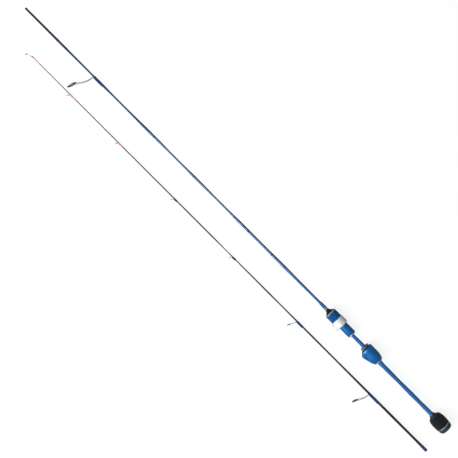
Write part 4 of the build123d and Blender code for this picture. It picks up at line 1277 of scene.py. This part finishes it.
class ROD_OT_guides(RodOperator):
    """Builds the line guides: feet, legs, hoops, ceramic rings and windings"""
    bl_idname = "rod.guides"
    bl_label = "Line guides"

    def build(self):
        for name, guide in GUIDES.items():
            self.guide(name, guide, "butt" if name == "guide_1" else "tip")

    def guide(self, name, guide, section):
        """One guide."""
        low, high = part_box(name + "_ring")
        centre = (low + high) / 2
        axis_y = TIP_CENTRE[0] if section == "tip" else 0.0
        wire = guide["wire"] * MM
        frame_low, frame_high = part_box(name + "_frame")
        hoop_d = frame_high.z - frame_low.z
        toe, foot_y = frame_low.x, frame_low.y
        root = centre.x - guide["root"] * MM
        half = wire * FOOT_TO_WIRE
        slot = SLOT_OF[name + "_frame"]

        count = ROUND if hoop_d > LARGE_HOOP else SMALL_ROUND
        shells = [hoop_mesh(centre, guide, hoop_d, count),
                  self.foot(toe, root + wire / 2, foot_y, axis_y, half, centre.z)]
        spread, tilt = radians(guide["spread"]), radians(guide["lean"])
        reach = hoop_d / 2 - wire / 2
        for side in (-1, 1):
            start = Vector((root, foot_y + FOOT_THICKNESS / 2, centre.z + side * half * 0.4))
            end = on_hoop(centre, reach * cos(spread), tilt, side * reach * sin(spread))
            knee = Vector((-guide["bow"], 0, side * guide["bow"] / 4)) * MM
            shells.append(wire_along(bent(start, end, knee), wire * LEG_R, slot))
        self.brace(shells, guide, centre, reach, root, foot_y, wire, slot)
        hand_in(name + "_frame_finished", joined(shells), [name + "_frame"])

        bead(name + "_ring", centre, guide, hoop_d, count)
        wind(name + "_whip", settings()[1].fine_pitch, section,
             dict(foot_height=FOOT_THICKNESS, foot_half_width=half, foot_start=toe - FOOT_LEAD,
                  foot_ramp=FOOT_RAMP))

    def foot(self, toe, heel, foot_y, axis_y, half, z):
        """The flat foot under the winding, thin and narrow at its toe, hollowed to sit on the blank."""
        sections = []
        blank = foot_y - axis_y
        for share in (0, 0.04, 0.12, 0.3, 0.6, 0.85, 1.0):
            x = toe + (heel - toe) * share
            width = half * min(1.0, 0.3 + share * 2.2)
            thick = FOOT_THICKNESS * min(1.0, 0.12 + share * 3)
            upper = [(u, foot_y + thick * (1 - 0.3 * u * u)) for u in (-1, -0.7, -0.35, 0, 0.35, 0.7, 1)]
            lower = [(u, axis_y + sqrt(max(blank ** 2 - (u * width) ** 2, 0)))
                     for u in (1, 0.5, 0, -0.5, -1)]
            sections.append([(x, y, z + u * width) for u, y in upper + lower])
        return skin(sections, "capped")

    def brace(self, shells, guide, centre, reach, root, foot_y, wire, slot):
        """On a large guide, a crossbar between the legs near the hoop."""
        if guide["bow"] < 2:
            return
        spread, tilt = radians(guide["spread"]), radians(guide["lean"])
        start = Vector((root, foot_y + FOOT_THICKNESS / 2, centre.z))
        end = on_hoop(centre, reach * cos(spread), tilt)
        middle = bent(start, end, Vector((-guide["bow"], 0, 0)) * MM)[6]
        width = Vector((0, 0, reach * sin(spread) * 0.44 + guide["bow"] / 8 * MM))
        bow = Vector((0, 0.5 * MM, 0))
        shells.append(wire_along(bent(middle - width, middle + width, bow, 8), wire * BRACE_R, slot))


class ROD_OT_tip_top(RodOperator):
    """Builds the tip-top: tube, wires, hoop and ceramic ring"""
    bl_idname = "rod.tip_top"
    bl_label = "Tip-top"

    def build(self):
        low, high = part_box("tip_top_ring")
        centre = (low + high) / 2
        y, z = TIP_CENTRE
        wire = TIP_TOP["wire"] * MM
        frame_low, frame_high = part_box("tip_top_frame")
        hoop_d = frame_high.z - frame_low.z
        start = span("tip_top_whip")[1]
        end = start + TIP_TOP_TUBE
        inner = blank_radius(start, "tip") + GAP
        outer = inner + TIP_TOP_WALL
        outline = [(start, inner), (start, outer - 0.1 * MM), (start + 0.2 * MM, outer),
                   (end - 0.5 * MM, outer), (end, outer - 0.45 * MM), (end, 0.0)]
        slot = SLOT_OF["tip_top_frame"]
        shells = [turned([(start, inner), (end - 1.0 * MM, inner), (end - 1.0 * MM, 0.0)], (y, z), 32),
                  turned(outline, (y, z), 32),
                  hoop_mesh(centre, TIP_TOP, hoop_d, SMALL_ROUND)]
        reach = hoop_d / 2 - wire / 2
        for side in (-1, 1):
            root = Vector((end - 5.5 * MM, y, z + side * (outer - 0.05 * MM)))
            leave = Vector((end - 1.5 * MM, y + 0.1 * MM, z + side * (outer + 0.05 * MM)))
            tip = Vector((centre.x, centre.y, z + side * reach))
            path = [root] + bent(leave, tip, Vector((0.6, -0.5, side * 0.15)) * MM)
            shells.append(wire_along(path, wire * LEG_R, slot))
        foot = Vector((end - 1.8 * MM, y + outer - 0.1 * MM, z))
        bottom = on_hoop(centre, reach, radians(TIP_TOP["lean"]))
        shells.append(wire_along(bent(foot, bottom, Vector((0, 0.2, 0)) * MM), wire * 0.36, slot))
        hand_in("tip_top_frame_finished", joined(shells), ["tip_top_frame"])
        bead("tip_top_ring", centre, TIP_TOP, hoop_d, SMALL_ROUND)


class ROD_OT_hidden_parts(RodOperator):
    """Gives a finish to the CAD parts that stay as they are, inside the seat"""
    bl_idname = "rod.hidden_parts"
    bl_label = "Inner parts"

    def build(self):
        for socket in frame["nodes"]["seat_arbor"].material_slots:
            socket.material = finish_of(SLOT_OF["seat_arbor"])


class ROD_OT_stage(RodOperator):
    """Builds the pale floor, the soft lights and the camera"""
    bl_idname = "rod.stage"
    bl_label = "Stage"

    def build(self):
        stage = settings()[2]
        low, high = CAD_BOX
        self.centre = Vector(((low.x + high.x) / 2, (low.y + high.y) / 2, 0))
        self.floor(stage.floor_size, low.z)
        self.light("key_light", (0.1, 1.7, 1.4), (2.4, 0.9), stage.key)
        top = self.light("top_light", (0.0, 0.0, 2.6), (2.2, 2.2), stage.top)
        top.visible_glossy = False
        self.room(stage.room)
        self.camera(stage)
        view = bpy.context.scene.view_settings
        view.view_transform = "Standard"
        view.gamma = stage.contrast

    def floor(self, size, z):
        """A pale floor that the rod lies on."""
        corners = [(self.centre.x + x * size / 2, self.centre.y + y * size / 2)
                   for x, y in ((-1, -1), (1, -1), (1, 1), (-1, 1))]
        mesh = skin([[(x, y, level) for x, y in corners] for level in (z, z - FLOOR_THICKNESS)], "capped")
        look = Finish("floor_paper", (0.2, 0.2, 0.202), roughness=0.85, specular_ior_level=0.15)
        look.tint(look.noise(3), (0.195, 0.195, 0.198), (0.21, 0.21, 0.21))
        look.relief(look.noise(900), 0.01 * MM)
        look.shader.inputs["Emission Color"].default_value = WHITE
        look.shader.inputs["Emission Strength"].default_value = FLOOR_GLOW
        mesh.materials.append(look.material)
        floor = bpy.data.objects.new("floor", mesh)
        floor.visible_glossy = False
        floor.visible_diffuse = False
        bpy.context.scene.collection.objects.link(floor)

    def light(self, name, offset, size, power):
        """A soft rectangular light, aimed at the middle of the rod."""
        data = bpy.data.lights.new(name, "AREA")
        data.shape = "RECTANGLE"
        data.size, data.size_y = size
        data.energy = power
        lamp = bpy.data.objects.new(name, data)
        lamp.location = self.centre + Vector(offset)
        lamp.rotation_euler = (-Vector(offset)).to_track_quat("-Z", "X").to_euler()
        lamp.visible_camera = False
        bpy.context.scene.collection.objects.link(lamp)
        return lamp

    def room(self, strength):
        """Even pale light from all round."""
        world = bpy.data.worlds.new("room")
        world.use_nodes = True
        background = world.node_tree.nodes["Background"]
        background.inputs["Color"].default_value = (0.96, 0.98, 1.0, 1.0)
        background.inputs["Strength"].default_value = strength
        bpy.context.scene.world = world

    def camera(self, stage):
        """A camera straight above, turned so that both sections lie across the frame's diagonal."""
        data = bpy.data.cameras.new("camera")
        data.sensor_width = 36
        data.lens = data.sensor_width * stage.camera_height / stage.frame_width
        data.clip_start = 0.05
        data.clip_end = 20
        camera = bpy.data.objects.new("camera", data)
        camera.location = (*VIEW_CENTRE, stage.camera_height)
        camera.rotation_euler = (0, 0, radians(225))
        bpy.context.scene.collection.objects.link(camera)
        bpy.context.scene.camera = camera


class ROD_PT_panel(bpy.types.Panel):
    """The rod's sizes, colours and operators."""
    bl_label = "Spinning rod"
    bl_idname = "ROD_PT_panel"
    bl_space_type = "VIEW_3D"
    bl_region_type = "UI"
    bl_category = "Rod"

    def draw(self, context):
        for group in settings():
            box = self.layout.box()
            for name in group.bl_rna.properties.keys():
                if name not in ("rna_type", "name"):
                    box.prop(group, name)
        for operator in OPERATORS:
            self.layout.operator(operator.bl_idname)


OPERATORS = [ROD_OT_blanks, ROD_OT_windings, ROD_OT_knob, ROD_OT_fixed_hood, ROD_OT_seat,
             ROD_OT_sliding_hood, ROD_OT_lock_nut, ROD_OT_guides, ROD_OT_tip_top, ROD_OT_hidden_parts,
             ROD_OT_stage]
CLASSES = [RodColours, RodSizes, RodStage, *OPERATORS, ROD_PT_panel]


def register():
    """Registers the add-on's classes and properties."""
    for item in CLASSES:
        bpy.utils.register_class(item)
    bpy.types.Scene.rod_colours = PointerProperty(type=RodColours)
    bpy.types.Scene.rod_sizes = PointerProperty(type=RodSizes)
    bpy.types.Scene.rod_stage = PointerProperty(type=RodStage)


def unregister():
    """Removes the add-on's properties and classes."""
    del bpy.types.Scene.rod_colours, bpy.types.Scene.rod_sizes, bpy.types.Scene.rod_stage
    for item in reversed(CLASSES):
        bpy.utils.unregister_class(item)


def main():
    register()
    bpy.ops.rod.blanks()
    bpy.ops.rod.windings()
    bpy.ops.rod.knob()
    bpy.ops.rod.fixed_hood()
    bpy.ops.rod.seat()
    bpy.ops.rod.sliding_hood()
    bpy.ops.rod.lock_nut()
    bpy.ops.rod.guides()
    bpy.ops.rod.tip_top()
    bpy.ops.rod.hidden_parts()
    bpy.ops.rod.stage()


if __name__ == "__main__":
    main()
